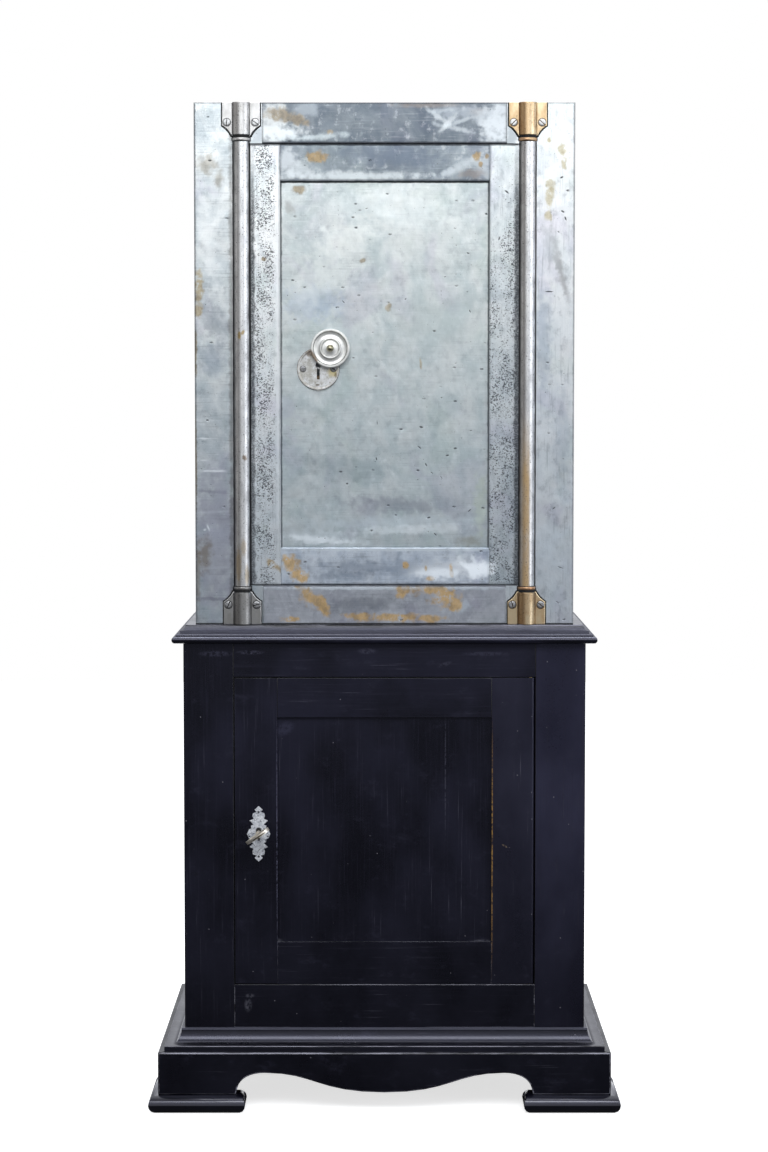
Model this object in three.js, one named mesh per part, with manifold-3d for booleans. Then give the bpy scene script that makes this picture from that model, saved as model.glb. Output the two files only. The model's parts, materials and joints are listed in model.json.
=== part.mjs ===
// An iron safe with a hinged door between two round columns, standing on its own
// ebonised cupboard. Millimetres, +Z up, the front faces -Y, and the origin lies on the
// floor under the middle of the overall box.
import * as THREE from 'three';
import { mergeVertices } from 'three/addons/utils/BufferGeometryUtils.js';
import Module from 'manifold-3d';

const wasm = await Module();
wasm.setup();

// Clearances shared by the whole object
const fit = 0.3;
const doorGap = 1.3;
const cupboardDoorGap = 1;
const mitreGap = 0.15;
const glueOverlap = 0.02;

// Cutters run this far past the faces they cut, and joined shapes reach this far into each other
const past = 1;

// Cupboard: carcase
const cupboardWidth = 600;
const cupboardDepth = 450;
const padHeight = 27;
const plinthHeight = 63;
const baseMouldingHeight = 30;
const carcaseHeight = 580;
const topHeight = 27;
const boardThickness = 18;
const backThickness = 10;
const housingDepth = 6;

// Cupboard: plinth, pads and mouldings, as distances out from the carcase
const plinthOut = 38;
const plinthThickness = 28;
const padOverhang = 14;
const padLength = 144.5;
const legWidth = 118.3;
const archTipHeight = 9.4;
const archFootSet = 2.5;
const archCrestHeight = 32.3;
const archCrestFromTip = 40.6;
const archDropHeight = 2.8;
const baseFilletOut = 29;
const baseFilletHeight = 8;
const coveFootOut = 17.7;
const coveHeadOut = 4.6;
const baseMouldingWidth = 60;
const noseOut = 16.3;
const noseRadius = 5.5;
const topStepOut = 4.5;
const topShelfOut = 10.5;
const topStepHeight = 14;
const topStepBevel = 1;
const topChamferHeight = 18.5;
const topSetBack = 3.5;
const topMouldingWidth = 62.3;

// Cupboard: face frame and door
const faceThickness = 20;
const faceStileWidth = 74.7;
const faceTopRail = 51;
const faceBottomRail = 65;
const doorStileWidth = 64;
const doorTopRail = 60;
const doorBottomRail = 64;
const panelRecess = 6;
const panelThickness = 8;
const panelTongue = 9;
const tenonLength = 26;
const tenonShoulder = 10;
const tenonFromGroove = 3;

// Cupboard: pivot hinges, lock and key
const pivotInset = 6;
const pivotDepth = 5;
const pivotRadius = 2.5;
const pivotRise = 8;
const hingePlateLength = 44;
const hingePlateWidth = 13;
const hingePlateThickness = 2.5;
const hingePlateFromEnd = 2.5;
const hingePlateFromFront = 1.5;
const keyInset = 36;
const keyHeight = 416;
const lockCaseInset = 2;
const lockCaseWidth = 56;
const lockCaseHeight = 76;
const lockCaseDepth = 16;
const lockWall = 1.5;
const lockBoltLength = 48;
const lockBoltHeight = 18;
const lockBoltThickness = 8;
const lockBoltAboveKey = 12;
const keyShaftRadius = 3;
const keyholeRadius = 4.4;
const keyholeSlot = 3.4;
const keyholeDrop = 13;
const bowWidth = 40;
const bowDepth = 26;
const bowThickness = 4.5;
const bowRim = 5.5;
const bowReach = 50;
const keyTilt = 34;
const keyTipProud = 1;
const bitLength = 9;
const bitWidth = 6;
const bitThickness = 2;
const bitFromDoor = 3;
const keyCollarProud = 1;
const keyCollarFromBow = 2;
const keyCollarLength = 3;
const escutcheonThickness = 1.5;
const escutcheonDrop = 2.5;
const escutcheonEyeRadius = 1.3;
const escutcheonEyeOut = 13.6;
const escutcheonEyeDrop = 3.8;

// Safe: shell and front frame
const safeWidth = 564;
const safeHeight = 773;
const safeDepth = 420;
const safeSetBack = 15;
const shellThickness = 8;
const frameThickness = 16;
const frameRailTop = 60;
const frameRailBottom = 58;
const frameStileWidth = 82;
const frameCornerWidth = 101;
const liningThickness = 2;
const liningHalfWidth = 222;
const liningDepth = 346;
const liningOverDoor = 4;

// Safe: columns and brackets
const columnX = 212;
const columnRadius = 12;
const columnGrooveRadius = 13.05;
const columnPinRadius = 8;
const columnPinLength = 19;
const bracketWidth = 56;
const bracketPlate = 3;
const bracketStraight = 34;
const bracketShoulder = 49;
const bracketHollow = 1.6;
const barrelRadius = 14;
const barrelLength = 48;
const neckRadius = 12.6;
const beadStart = 52;
const beadLength = 4.6;
const beadRadius = 13.4;
const beadBulge = 0.8;
const neckEdge = 1;
const boreDepth = 21;
const bracketScrewOffset = 21;
const bracketScrewFromEnd = 29.3;
const screwHeadRadius = 5.5;
const screwHeadHeight = 1.2;
const screwShankRadius = 2.5;
const screwLength = 12;
const screwSlotWidth = 1.3;
const screwSlotDepth = 0.8;

// Safe: door
const doorSetBack = 0.5;
const doorBarThickness = 5;
const doorPlateThickness = 10;
const doorHalfWidth = 198.7;
const doorStileBar = 44;
const doorTopBar = 54;
const doorBottomBar = 55;
const doorPlateBehindColumn = 8;
const caseHalfWidth = 178;
const caseMarginTop = 28;
const caseMarginBottom = 27;
const caseDepth = 45;
const caseWall = 3;

// Safe: lock, bolts, escutcheon and keyhole cover
const keyholeX = -98.5;
const keyholeBelowMiddle = 5;
const safeKeyholeRadius = 4.2;
const safeKeyholeSlot = 4.4;
const safeKeyholeTop = 6;
const safeKeyholeBottom = 15.5;
const escutcheonRadius = 31;
const escutcheonRimWidth = 2;
const escutcheonRimFoot = 1;
const escutcheonPlate = 3;
const escutcheonRimHeight = 1;
const escutcheonPoint = 4;
const coverRadius = 29;
const coverOffsetX = 18;
const coverOffsetZ = 30.6;
const coverPivotRise = 21.2;
const coverClearance = 1.3;
const coverThickness = 8;
const coverBallRadius = 5.5;
const coverEdge = 1;
const coverRimHalf = 2.2;
const coverHollowOuter = 22.5;
const coverHollowInner = 19;
const coverHollowDepth = 3.4;
const coverRingRadius = 15;
const coverRingHalf = 1.5;
const coverDishRadius = 8;
const coverDishDepth = 2;
const coverNeckRadius = 3;
const coverNeckHeight = 1;
const pivotStudRadius = 3;
const pivotStudDepth = 3;
const boltRadius = 7;
const boltTip = -195;
const boltTail = -10;
const boltBehindPlate = 1.5;
const boltFromCaseEnd = 37.7;
const boltPairSpacing = 155;
const boltBarWidth = 30;
const boltBarThickness = 10;
const boltBarSetBack = 5;
const boltBarOverrun = 14;
const talonForward = 2;
const talonLength = 85;
const talonHeight = 30;
const talonThickness = 5;
const safeLockWidth = 73;
const safeLockHeight = 82;
const safeLockDepth = 20;
const safeLockWall = 2;

// Levels and planes worked out from the driving sizes
const overallDepth = cupboardDepth + plinthOut + padOverhang;
const padFrontY = -overallDepth / 2;
const backY = overallDepth / 2;
const frontY = padFrontY + plinthOut + padOverhang;
const halfWidth = cupboardWidth / 2;
const plinthTopZ = padHeight + plinthHeight;
const carcaseZ = plinthTopZ + baseMouldingHeight;
const carcaseTopZ = carcaseZ + carcaseHeight;
const safeZ = carcaseTopZ + topHeight;
const safeTopZ = safeZ + safeHeight;
const faceBackY = frontY + faceThickness;
const openingHalf = halfWidth - faceStileWidth;
const openingBottomZ = carcaseZ + faceBottomRail;
const openingTopZ = carcaseTopZ - faceTopRail;
const safeFrontY = frontY + safeSetBack;
const safeBackY = safeFrontY + safeDepth;
const safeHalf = safeWidth / 2;
const frameBackY = safeFrontY + frameThickness;
const safeOpeningBottomZ = safeZ + frameRailBottom;
const safeOpeningTopZ = safeTopZ - frameRailTop;
const frameStileInner = safeHalf - frameStileWidth;
const frameCornerInner = safeHalf - frameCornerWidth;

// Finishes
const finishes = {
    steel: { color: 0xaab4bc, roughness: 0.38, metalness: 0.85 },
    paleSteel: { color: 0xbcc6c4, roughness: 0.42, metalness: 0.8 },
    brass: { color: 0xc39a4e, roughness: 0.32, metalness: 0.9 },
    nickel: { color: 0xc9c8bd, roughness: 0.3, metalness: 0.9 },
    darkIron: { color: 0x5b6066, roughness: 0.6, metalness: 0.7 },
    ebonisedWood: { color: 0x1a1a21, roughness: 0.45, metalness: 0 },
    plainWood: { color: 0x6b5a48, roughness: 0.75, metalness: 0 },
    fireFilling: { color: 0xb9b2a3, roughness: 0.95, metalness: 0 },
};

const object = new THREE.Group();

// Adds one named piece to the object.
function piece(name, finish, geometry) {
    const mesh = new THREE.Mesh(geometry, new THREE.MeshStandardMaterial(finishes[finish]));
    mesh.name = name;
    object.add(mesh);
    return mesh;
}

// Solid joins and cuts
function toSolid(geometry) {
    const plain = geometry.clone();
    plain.deleteAttribute('normal');
    plain.deleteAttribute('uv');
    const merged = mergeVertices(plain, 1e-4);
    return new wasm.Manifold(new wasm.Mesh({
        numProp: 3,
        vertProperties: new Float32Array(merged.attributes.position.array),
        triVerts: new Uint32Array(merged.index.array),
    }));
}

function toGeometry(solid) {
    const mesh = solid.getMesh();
    const geometry = new THREE.BufferGeometry();
    geometry.setAttribute('position', new THREE.BufferAttribute(mesh.vertProperties, 3));
    geometry.setIndex(new THREE.BufferAttribute(mesh.triVerts, 1));
    geometry.computeVertexNormals();
    return geometry;
}

function join(...parts) {
    return toGeometry(parts.map(toSolid).reduce((whole, part) => whole.add(part)));
}

function cut(body, ...cutters) {
    return toGeometry(cutters.map(toSolid).reduce((whole, part) => whole.subtract(part), toSolid(body)));
}

// A box between two values on each axis.
function box(x0, x1, y0, y1, z0, z1) {
    const geometry = new THREE.BoxGeometry(x1 - x0, y1 - y0, z1 - z0);
    return geometry.translate((x0 + x1) / 2, (y0 + y1) / 2, (z0 + z1) / 2);
}

// Two values, the lower one first.
function ordered(a, b) {
    return [Math.min(a, b), Math.max(a, b)];
}

// Outlines drawn in X and Z, carried along Y.
function alongY(shape, y0, y1) {
    const options = { depth: y1 - y0, bevelEnabled: false, curveSegments: 8 };
    const geometry = new THREE.ExtrudeGeometry(shape, options);
    return geometry.rotateX(Math.PI / 2).translate(0, y1, 0);
}

// Outlines drawn in X and Y, carried along Z.
function alongZ(shape, z0, z1) {
    const options = { depth: z1 - z0, bevelEnabled: false, curveSegments: 8 };
    const geometry = new THREE.ExtrudeGeometry(shape, options);
    return geometry.translate(0, 0, z0);
}

function outline(points) {
    return new THREE.Shape(points.map(([a, b]) => new THREE.Vector2(a, b)));
}

// Upright round bar or bore.
function uprightBar(radius, x, y, z0, z1, sides = 32) {
    const geometry = new THREE.CylinderGeometry(radius, radius, z1 - z0, sides);
    return geometry.rotateX(Math.PI / 2).translate(x, y, (z0 + z1) / 2);
}

// Round bar or bore that runs from front to back.
function deepBar(radius, x, z, y0, y1, sides = 24) {
    return new THREE.CylinderGeometry(radius, radius, y1 - y0, sides).translate(x, (y0 + y1) / 2, z);
}

// Round bar or bore that runs across.
function crossBar(radius, y, z, x0, x1, sides = 24) {
    const geometry = new THREE.CylinderGeometry(radius, radius, x1 - x0, sides);
    return geometry.rotateZ(Math.PI / 2).translate((x0 + x1) / 2, y, z);
}

// Turned piece about an upright axis, from radius and height pairs.
function turnedUpright(profile, x, y, sides = 32) {
    const points = profile.map(([radius, z]) => new THREE.Vector2(radius, z));
    return new THREE.LatheGeometry(points, sides).rotateX(Math.PI / 2).translate(x, y, 0);
}

// Turned piece about an axis that points forward, from radius and forward reach pairs.
function turnedForward(profile, x, y, z, sides = 32) {
    const points = profile.map(([radius, reach]) => new THREE.Vector2(radius, reach));
    return new THREE.LatheGeometry(points, sides).rotateX(Math.PI).translate(x, y, z);
}

// Points on an arc between two angles in degrees.
function arc(a, b, radius, from, to, steps) {
    return Array.from({ length: steps + 1 }, (_, i) => {
        const angle = THREE.MathUtils.degToRad(from + (to - from) * i / steps);
        return [a + radius * Math.cos(angle), b + radius * Math.sin(angle)];
    });
}

// Points on a shallow hollow from one point of an outline to another, deepest in the middle.
function hollowBetween([a0, b0], [a1, b1], depth, steps) {
    const length = Math.hypot(a1 - a0, b1 - b0);
    return Array.from({ length: steps + 1 }, (_, i) => {
        const share = i / steps;
        const sink = 4 * depth * share * (1 - share) / length;
        return [
            a0 + (a1 - a0) * share - (b1 - b0) * sink,
            b0 + (b1 - b0) * share + (a1 - a0) * sink,
        ];
    });
}

// Moulding lengths: a profile of (out, height) pairs carried along one side of the carcase.
// Mitred ends grow with the distance out, plain ends stay square, and glued mitres just
// reach into each other.
const sides = {
    front: (along, out) => [along, frontY - out],
    left: (along, out) => [-halfWidth - out, along],
    right: (along, out) => [halfWidth + out, along],
    back: (along, out) => [along, backY + out],
};
const sideRuns = {
    front: { from: halfWidth, to: -halfWidth, growFrom: 1, growTo: -1 },
    left: { from: frontY, to: backY, growFrom: -1, growTo: 0 },
    right: { from: backY, to: frontY, growFrom: 0, growTo: -1 },
};
function mouldingLength(side, profile) {
    const run = sideRuns[side];
    const geometry = new THREE.ExtrudeGeometry(outline(profile), { depth: 1, bevelEnabled: false });
    const position = geometry.attributes.position;
    const direction = Math.sign(run.to - run.from);
    for (let i = 0; i < position.count; i += 1) {
        const out = position.getX(i);
        const atStart = position.getZ(i) < 0.5;
        const grow = atStart ? run.growFrom : run.growTo;
        const joint = glueOverlap * (atStart ? -direction : direction) * Math.abs(grow);
        const along = (atStart ? run.from : run.to) + grow * out + joint;
        const [x, y] = sides[side](along, out);
        position.setXYZ(i, x, y, position.getY(i));
    }
    geometry.computeVertexNormals();
    return geometry;
}

// Foot pads: an L in plan under each corner, with a fully rounded edge all round.
// The rear pads are cut off square at the back of the cupboard.
function footPad(signX, signY) {
    const nose = padHeight / 2;
    const width = plinthThickness + 2 * padOverhang;
    const outerX = halfWidth + plinthOut + padOverhang;
    const outerY = signY < 0 ? -padFrontY : backY + padOverhang;
    const lengthY = signY < 0 ? padLength : padLength + padOverhang;
    const corner = [
        [outerX - nose, outerY - nose],
        [outerX - padLength + nose, outerY - nose],
        [outerX - padLength + nose, outerY - width + nose],
        [outerX - width + nose, outerY - width + nose],
        [outerX - width + nose, outerY - lengthY + nose],
        [outerX - nose, outerY - lengthY + nose],
    ];
    const placed = corner.map(([x, y]) => [signX * x, signY * y]);
    const geometry = new THREE.ExtrudeGeometry(outline(placed), {
        depth: 0.02,
        bevelEnabled: true,
        bevelThickness: nose - 0.01,
        bevelSize: nose,
        bevelSegments: 4,
    });
    return geometry.translate(0, 0, nose - 0.01);
}
const behindCupboard = box(
    -cupboardWidth, cupboardWidth, backY, backY + cupboardDepth, -past, padHeight + past);
piece('foot_pad_front_left', 'ebonisedWood', footPad(-1, -1));
piece('foot_pad_front_right', 'ebonisedWood', footPad(1, -1));
piece('foot_pad_rear_left', 'ebonisedWood', cut(footPad(-1, 1), behindCupboard));
piece('foot_pad_rear_right', 'ebonisedWood', cut(footPad(1, 1), behindCupboard));

// Plinth boards: bracket feet with a shaped apron between them. The outline runs from one
// end of the board to the other, and its lower edge is the arch.
function plinthOutline(length) {
    const middle = length / 2;
    const half = middle - legWidth;
    const slope = half - archCrestFromTip;
    const shape = new THREE.Shape();
    const z = (height) => padHeight + height;
    shape.moveTo(0, z(0));
    shape.lineTo(legWidth - archFootSet, z(0));
    shape.lineTo(legWidth, z(archTipHeight));
    shape.bezierCurveTo(
        legWidth + archCrestFromTip * 0.08, z(archCrestHeight * 0.75),
        legWidth + archCrestFromTip * 0.5, z(archCrestHeight),
        legWidth + archCrestFromTip, z(archCrestHeight));
    shape.bezierCurveTo(
        legWidth + archCrestFromTip + slope * 0.42, z(archCrestHeight),
        middle - slope * 0.56, z(archDropHeight),
        middle, z(archDropHeight));
    shape.bezierCurveTo(
        middle + slope * 0.56, z(archDropHeight),
        length - legWidth - archCrestFromTip - slope * 0.42, z(archCrestHeight),
        length - legWidth - archCrestFromTip, z(archCrestHeight));
    shape.bezierCurveTo(
        length - legWidth - archCrestFromTip * 0.5, z(archCrestHeight),
        length - legWidth - archCrestFromTip * 0.08, z(archCrestHeight * 0.75),
        length - legWidth, z(archTipHeight));
    shape.lineTo(length - legWidth + archFootSet, z(0));
    shape.lineTo(length, z(0));
    shape.lineTo(length, z(plinthHeight));
    shape.lineTo(0, z(plinthHeight));
    return shape;
}
// Lays a plinth board along a side; the ends named in mitres are cut at 45 degrees.
function plinthBoard(length, mitreStart, mitreEnd, place) {
    const geometry = new THREE.ExtrudeGeometry(plinthOutline(length), {
        depth: plinthThickness, bevelEnabled: false, curveSegments: 8,
    });
    const position = geometry.attributes.position;
    for (let i = 0; i < position.count; i += 1) {
        let along = position.getX(i);
        const inward = plinthThickness - position.getZ(i);
        if (mitreStart && along < 1) {
            along += inward + mitreGap;
        }
        if (mitreEnd && along > length - 1) {
            along -= inward + mitreGap;
        }
        const [x, y] = place(along, inward);
        position.setXYZ(i, x, y, position.getY(i));
    }
    geometry.computeVertexNormals();
    return geometry;
}
const plinthFrontLength = cupboardWidth + 2 * plinthOut;
const plinthSideLength = cupboardDepth + plinthOut;
const plinthHalf = plinthFrontLength / 2;
const plinthFrontY = frontY - plinthOut;
piece('plinth_front', 'ebonisedWood', plinthBoard(plinthFrontLength, true, true,
    (along, inward) => [along - plinthHalf, plinthFrontY + inward]));
piece('plinth_left', 'ebonisedWood', plinthBoard(plinthSideLength, false, true,
    (along, inward) => [-plinthHalf + inward, backY - along]));
piece('plinth_right', 'ebonisedWood', plinthBoard(plinthSideLength, true, false,
    (along, inward) => [plinthHalf - inward, plinthFrontY + along]));
piece('plinth_back', 'plainWood', box(
    -plinthHalf + plinthThickness, plinthHalf - plinthThickness,
    backY - plinthThickness, backY,
    padHeight, plinthTopZ));

// Base moulding: a flat fillet and a hollow, mitred round the front corners. It lies on
// the plinth and carries the carcase; a plain rail closes it at the back.
function baseMoulding() {
    const coveRise = baseMouldingHeight - baseFilletHeight;
    const coveRun = coveFootOut - coveHeadOut;
    const cove = arc(0, 0, 1, 270, 180, 5).map(([a, b]) => [
        coveFootOut + a * coveRun,
        carcaseZ + b * coveRise,
    ]);
    const profile = [
        [baseFilletOut - baseMouldingWidth, plinthTopZ],
        [baseFilletOut, plinthTopZ],
        [baseFilletOut, plinthTopZ + baseFilletHeight],
        ...cove,
        [baseFilletOut - baseMouldingWidth, carcaseZ],
    ];
    const lengths = ['front', 'left', 'right'].map((side) => mouldingLength(side, profile));
    const innerHalf = halfWidth + baseFilletOut - baseMouldingWidth + past;
    const rearRail = box(-innerHalf, innerHalf, backY - baseMouldingWidth, backY, plinthTopZ, carcaseZ);
    return join(...lengths, rearRail);
}
piece('base_moulding', 'ebonisedWood', baseMoulding());

// Carcase: sides with a housing for each end of the floor, and a back between them.
const insideHalf = halfWidth - boardThickness;
const floorBottomZ = openingBottomZ - boardThickness;
const insideBackY = backY - backThickness;
function cupboardSide(sign) {
    const edge = ordered(sign * halfWidth, sign * insideHalf);
    const ends = ordered(sign * (insideHalf - past), sign * (insideHalf + housingDepth + fit));
    const housing = box(...ends, faceBackY - past, insideBackY + fit,
        floorBottomZ - fit, openingBottomZ + fit);
    return cut(box(...edge, faceBackY, backY, carcaseZ, carcaseTopZ), housing);
}
piece('cupboard_side_left', 'ebonisedWood', cupboardSide(-1));
piece('cupboard_side_right', 'ebonisedWood', cupboardSide(1));
piece('cupboard_floor', 'plainWood', box(
    -insideHalf - housingDepth, insideHalf + housingDepth,
    faceBackY, insideBackY,
    floorBottomZ, openingBottomZ));
piece('cupboard_back', 'plainWood', box(
    -insideHalf, insideHalf, insideBackY, backY, carcaseZ, carcaseTopZ));

// Face frame: rails tenoned into the stiles, with a joint line at each shoulder.
const tenonFrontY = frontY + panelRecess;
const tenonBackY = tenonFrontY + panelThickness;
function faceTenon(sign, inner, z0, z1, clearance) {
    const ends = ordered(sign * (inner - past), sign * (inner + tenonLength + clearance));
    return box(...ends, tenonFrontY - clearance, tenonBackY + clearance,
        z0 - clearance, z1 + clearance);
}
const faceTopTenon = [openingTopZ + tenonShoulder, carcaseTopZ - tenonShoulder];
const faceBottomTenon = [carcaseZ + tenonShoulder, openingBottomZ - tenonShoulder];
function faceStile(sign) {
    const edge = ordered(sign * halfWidth, sign * openingHalf);
    const board = box(...edge, frontY, faceBackY, carcaseZ, carcaseTopZ);
    return cut(board,
        faceTenon(sign, openingHalf, ...faceTopTenon, fit),
        faceTenon(sign, openingHalf, ...faceBottomTenon, fit));
}
function railWithTenons(half, z0, z1, tenon) {
    return join(
        box(-half, half, frontY, faceBackY, z0, z1),
        faceTenon(-1, half, ...tenon, 0),
        faceTenon(1, half, ...tenon, 0));
}

// Pivot hinges: a brass plate with a pin, let into each face rail; the pins stand in
// holes in the ends of the door's right stile.
const cupboardDoorHalf = openingHalf - cupboardDoorGap;
const cupboardDoorBottomZ = openingBottomZ + cupboardDoorGap;
const cupboardDoorTopZ = openingTopZ - cupboardDoorGap;
const pivotX = cupboardDoorHalf - pivotInset;
const pivotY = frontY + pivotDepth;
const plateRightX = cupboardDoorHalf - hingePlateFromEnd;
const plateX = [plateRightX - hingePlateLength, plateRightX];
const plateY = [frontY + hingePlateFromFront, frontY + hingePlateFromFront + hingePlateWidth];
function hingePlate(z0, z1, clearance) {
    return box(plateX[0] - clearance, plateX[1] + clearance,
        plateY[0] - clearance, plateY[1] + clearance, z0, z1);
}
const lowerPlateZ = [openingBottomZ - hingePlateThickness, openingBottomZ];
const upperPlateZ = [openingTopZ, openingTopZ + hingePlateThickness];
const lowerPin = [openingBottomZ - past, openingBottomZ + pivotRise];
const upperPin = [openingTopZ - pivotRise, openingTopZ + past];
piece('face_stile_left', 'ebonisedWood', faceStile(-1));
piece('face_stile_right', 'ebonisedWood', faceStile(1));
piece('face_rail_top', 'ebonisedWood', cut(
    railWithTenons(openingHalf, openingTopZ, carcaseTopZ, faceTopTenon),
    hingePlate(upperPlateZ[0] - past, upperPlateZ[1] + fit, fit)));
piece('face_rail_bottom', 'ebonisedWood', cut(
    railWithTenons(openingHalf, carcaseZ, openingBottomZ, faceBottomTenon),
    hingePlate(lowerPlateZ[0] - fit, lowerPlateZ[1] + past, fit)));
piece('pivot_bottom', 'brass', join(
    hingePlate(...lowerPlateZ, 0), uprightBar(pivotRadius, pivotX, pivotY, ...lowerPin, 20)));
piece('pivot_top', 'brass', join(
    hingePlate(...upperPlateZ, 0), uprightBar(pivotRadius, pivotX, pivotY, ...upperPin, 20)));

// Cupboard door: stiles and rails round a flat panel held in grooves.
const panelHalf = cupboardDoorHalf - doorStileWidth;
const panelBottomZ = cupboardDoorBottomZ + doorBottomRail;
const panelTopZ = cupboardDoorTopZ - doorTopRail;
const grooveDepth = panelTongue + fit;
const doorTopTenon = [panelTopZ + grooveDepth + tenonFromGroove, cupboardDoorTopZ - tenonShoulder];
const doorBottomTenon = [cupboardDoorBottomZ + tenonShoulder, panelBottomZ - grooveDepth - tenonFromGroove];
const panelGroove = box(
    -panelHalf - grooveDepth, panelHalf + grooveDepth,
    tenonFrontY - fit, tenonBackY + fit,
    panelBottomZ - grooveDepth, panelTopZ + grooveDepth);
const pivotHoles = [
    uprightBar(pivotRadius + fit, pivotX, pivotY, openingBottomZ, openingBottomZ + pivotRise + fit, 20),
    uprightBar(pivotRadius + fit, pivotX, pivotY, openingTopZ - pivotRise - fit, openingTopZ, 20),
];
const keyX = -cupboardDoorHalf + keyInset;
const keyholeFrontY = frontY - escutcheonThickness - past;
const keyholeCut = join(
    deepBar(keyholeRadius, keyX, keyHeight, keyholeFrontY, faceBackY + past, 20),
    box(keyX - keyholeSlot / 2, keyX + keyholeSlot / 2,
        keyholeFrontY, faceBackY + past, keyHeight - keyholeDrop, keyHeight));
function doorTenonCuts(sign) {
    return [
        faceTenon(sign, panelHalf, ...doorTopTenon, fit),
        faceTenon(sign, panelHalf, ...doorBottomTenon, fit),
    ];
}
piece('cupboard_door_stile_left', 'ebonisedWood', cut(
    box(-cupboardDoorHalf, -panelHalf, frontY, faceBackY, cupboardDoorBottomZ, cupboardDoorTopZ),
    panelGroove, keyholeCut, ...doorTenonCuts(-1)));
// The front corner of the hinged stile is rounded about the pivots, so that it can turn.
const hingedStileSection = outline([
    [panelHalf, frontY],
    ...arc(cupboardDoorHalf - pivotDepth, frontY + pivotDepth, pivotDepth, -90, 0, 5),
    [cupboardDoorHalf, faceBackY],
    [panelHalf, faceBackY],
]);
piece('cupboard_door_stile_right', 'ebonisedWood', cut(
    alongZ(hingedStileSection, cupboardDoorBottomZ, cupboardDoorTopZ),
    panelGroove, ...pivotHoles, ...doorTenonCuts(1)));
piece('cupboard_door_rail_top', 'ebonisedWood', cut(
    railWithTenons(panelHalf, panelTopZ, cupboardDoorTopZ, doorTopTenon), panelGroove));
piece('cupboard_door_rail_bottom', 'ebonisedWood', cut(
    railWithTenons(panelHalf, cupboardDoorBottomZ, panelBottomZ, doorBottomTenon), panelGroove));
piece('cupboard_door_panel', 'ebonisedWood', box(
    -panelHalf - panelTongue, panelHalf + panelTongue,
    tenonFrontY, tenonBackY,
    panelBottomZ - panelTongue, panelTopZ + panelTongue));

// Cupboard escutcheon: a sawn plate with points at both ends and lobes at the keyhole.
// A quarter of the outline is drawn from the tip down to the middle, and mirrored twice.
// Each lobe has a small eye.
function cupboardEscutcheon() {
    const quarter = [
        [0, 42], [6, 36.3], [2.8, 32.8], [8.6, 31], [9.3, 26.5], [7.6, 22.5], [13.6, 20],
        [7.6, 14], [11.6, 12], [11, 8], [14.6, 6.5], [17.5, 0],
    ];
    const right = [...quarter, ...quarter.slice(0, -1).reverse().map(([x, z]) => [x, -z])];
    const left = right.slice(1, -1).reverse().map(([x, z]) => [-x, z]);
    const points = [...right, ...left].map(([x, z]) => [keyX + x, keyHeight - escutcheonDrop + z]);
    const plate = alongY(outline(points.reverse()), frontY - escutcheonThickness, frontY);
    const eyes = [-1, 1].map((sign) => deepBar(
        escutcheonEyeRadius, keyX + sign * escutcheonEyeOut,
        keyHeight - escutcheonDrop - escutcheonEyeDrop,
        keyholeFrontY, frontY + past, 12));
    return cut(plate, keyholeCut, ...eyes);
}
piece('cupboard_escutcheon', 'nickel', cupboardEscutcheon());

// Cupboard lock: a shallow iron case on the back of the door, a bolt that slides out
// behind the face frame, and a key left in the lock.
const lockLeft = -cupboardDoorHalf + lockCaseInset;
const lockBottomZ = keyHeight - lockCaseHeight / 2;
const lockBoltZ = keyHeight + lockBoltAboveKey;
const lockBoltY = faceBackY + lockWall;
function cupboardLockCase() {
    const whole = box(lockLeft, lockLeft + lockCaseWidth,
        faceBackY, faceBackY + lockCaseDepth,
        lockBottomZ, lockBottomZ + lockCaseHeight);
    const hollow = box(lockLeft + lockWall, lockLeft + lockCaseWidth - lockWall,
        faceBackY - past, faceBackY + lockCaseDepth - lockWall,
        lockBottomZ + lockWall, lockBottomZ + lockCaseHeight - lockWall);
    const boltHole = box(lockLeft - past, lockLeft + lockWall + past,
        lockBoltY - fit, lockBoltY + lockBoltThickness + fit,
        lockBoltZ - fit, lockBoltZ + lockBoltHeight + fit);
    const keyBearing = deepBar(keyShaftRadius + fit, keyX, keyHeight,
        faceBackY + lockCaseDepth / 2, faceBackY + lockCaseDepth + past, 20);
    return cut(whole, hollow, boltHole, keyBearing);
}
piece('cupboard_lock_case', 'darkIron', cupboardLockCase());
piece('cupboard_lock_bolt', 'darkIron', box(
    lockLeft + fit, lockLeft + fit + lockBoltLength,
    lockBoltY, lockBoltY + lockBoltThickness,
    lockBoltZ, lockBoltZ + lockBoltHeight));
// The key is drawn with its shaft on the origin and pointing forward, then turned and placed.
function cupboardKey() {
    const ellipse = (a, b) => Array.from({ length: 28 }, (_, i) => {
        const angle = Math.PI * 2 * i / 28;
        return [a * Math.cos(angle), -bowReach + bowDepth / 2 + b * Math.sin(angle)];
    });
    const ring = outline(ellipse(bowWidth / 2, bowDepth / 2));
    ring.holes.push(new THREE.Path(
        ellipse(bowWidth / 2 - bowRim, bowDepth / 2 - bowRim).reverse()
            .map(([x, y]) => new THREE.Vector2(x, y))));
    const bow = alongZ(ring, -bowThickness / 2, bowThickness / 2);
    const shaftEnd = faceThickness + lockCaseDepth + keyTipProud;
    const shaft = deepBar(keyShaftRadius, 0, 0, -bowReach + bowDepth - bowRim / 2, shaftEnd, 20);
    const collarStart = -bowReach + bowDepth + keyCollarFromBow;
    const collarEnd = collarStart + keyCollarLength;
    const collar = deepBar(keyShaftRadius + keyCollarProud, 0, 0, collarStart, collarEnd, 20);
    const bitStart = faceThickness + bitFromDoor;
    const bit = box(-bitLength, -keyShaftRadius / 2, bitStart, bitStart + bitWidth,
        -bitThickness / 2, bitThickness / 2);
    return join(bow, shaft, collar, bit);
}
const key = piece('cupboard_key', 'nickel', cupboardKey());
key.position.set(keyX, frontY, keyHeight);
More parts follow.
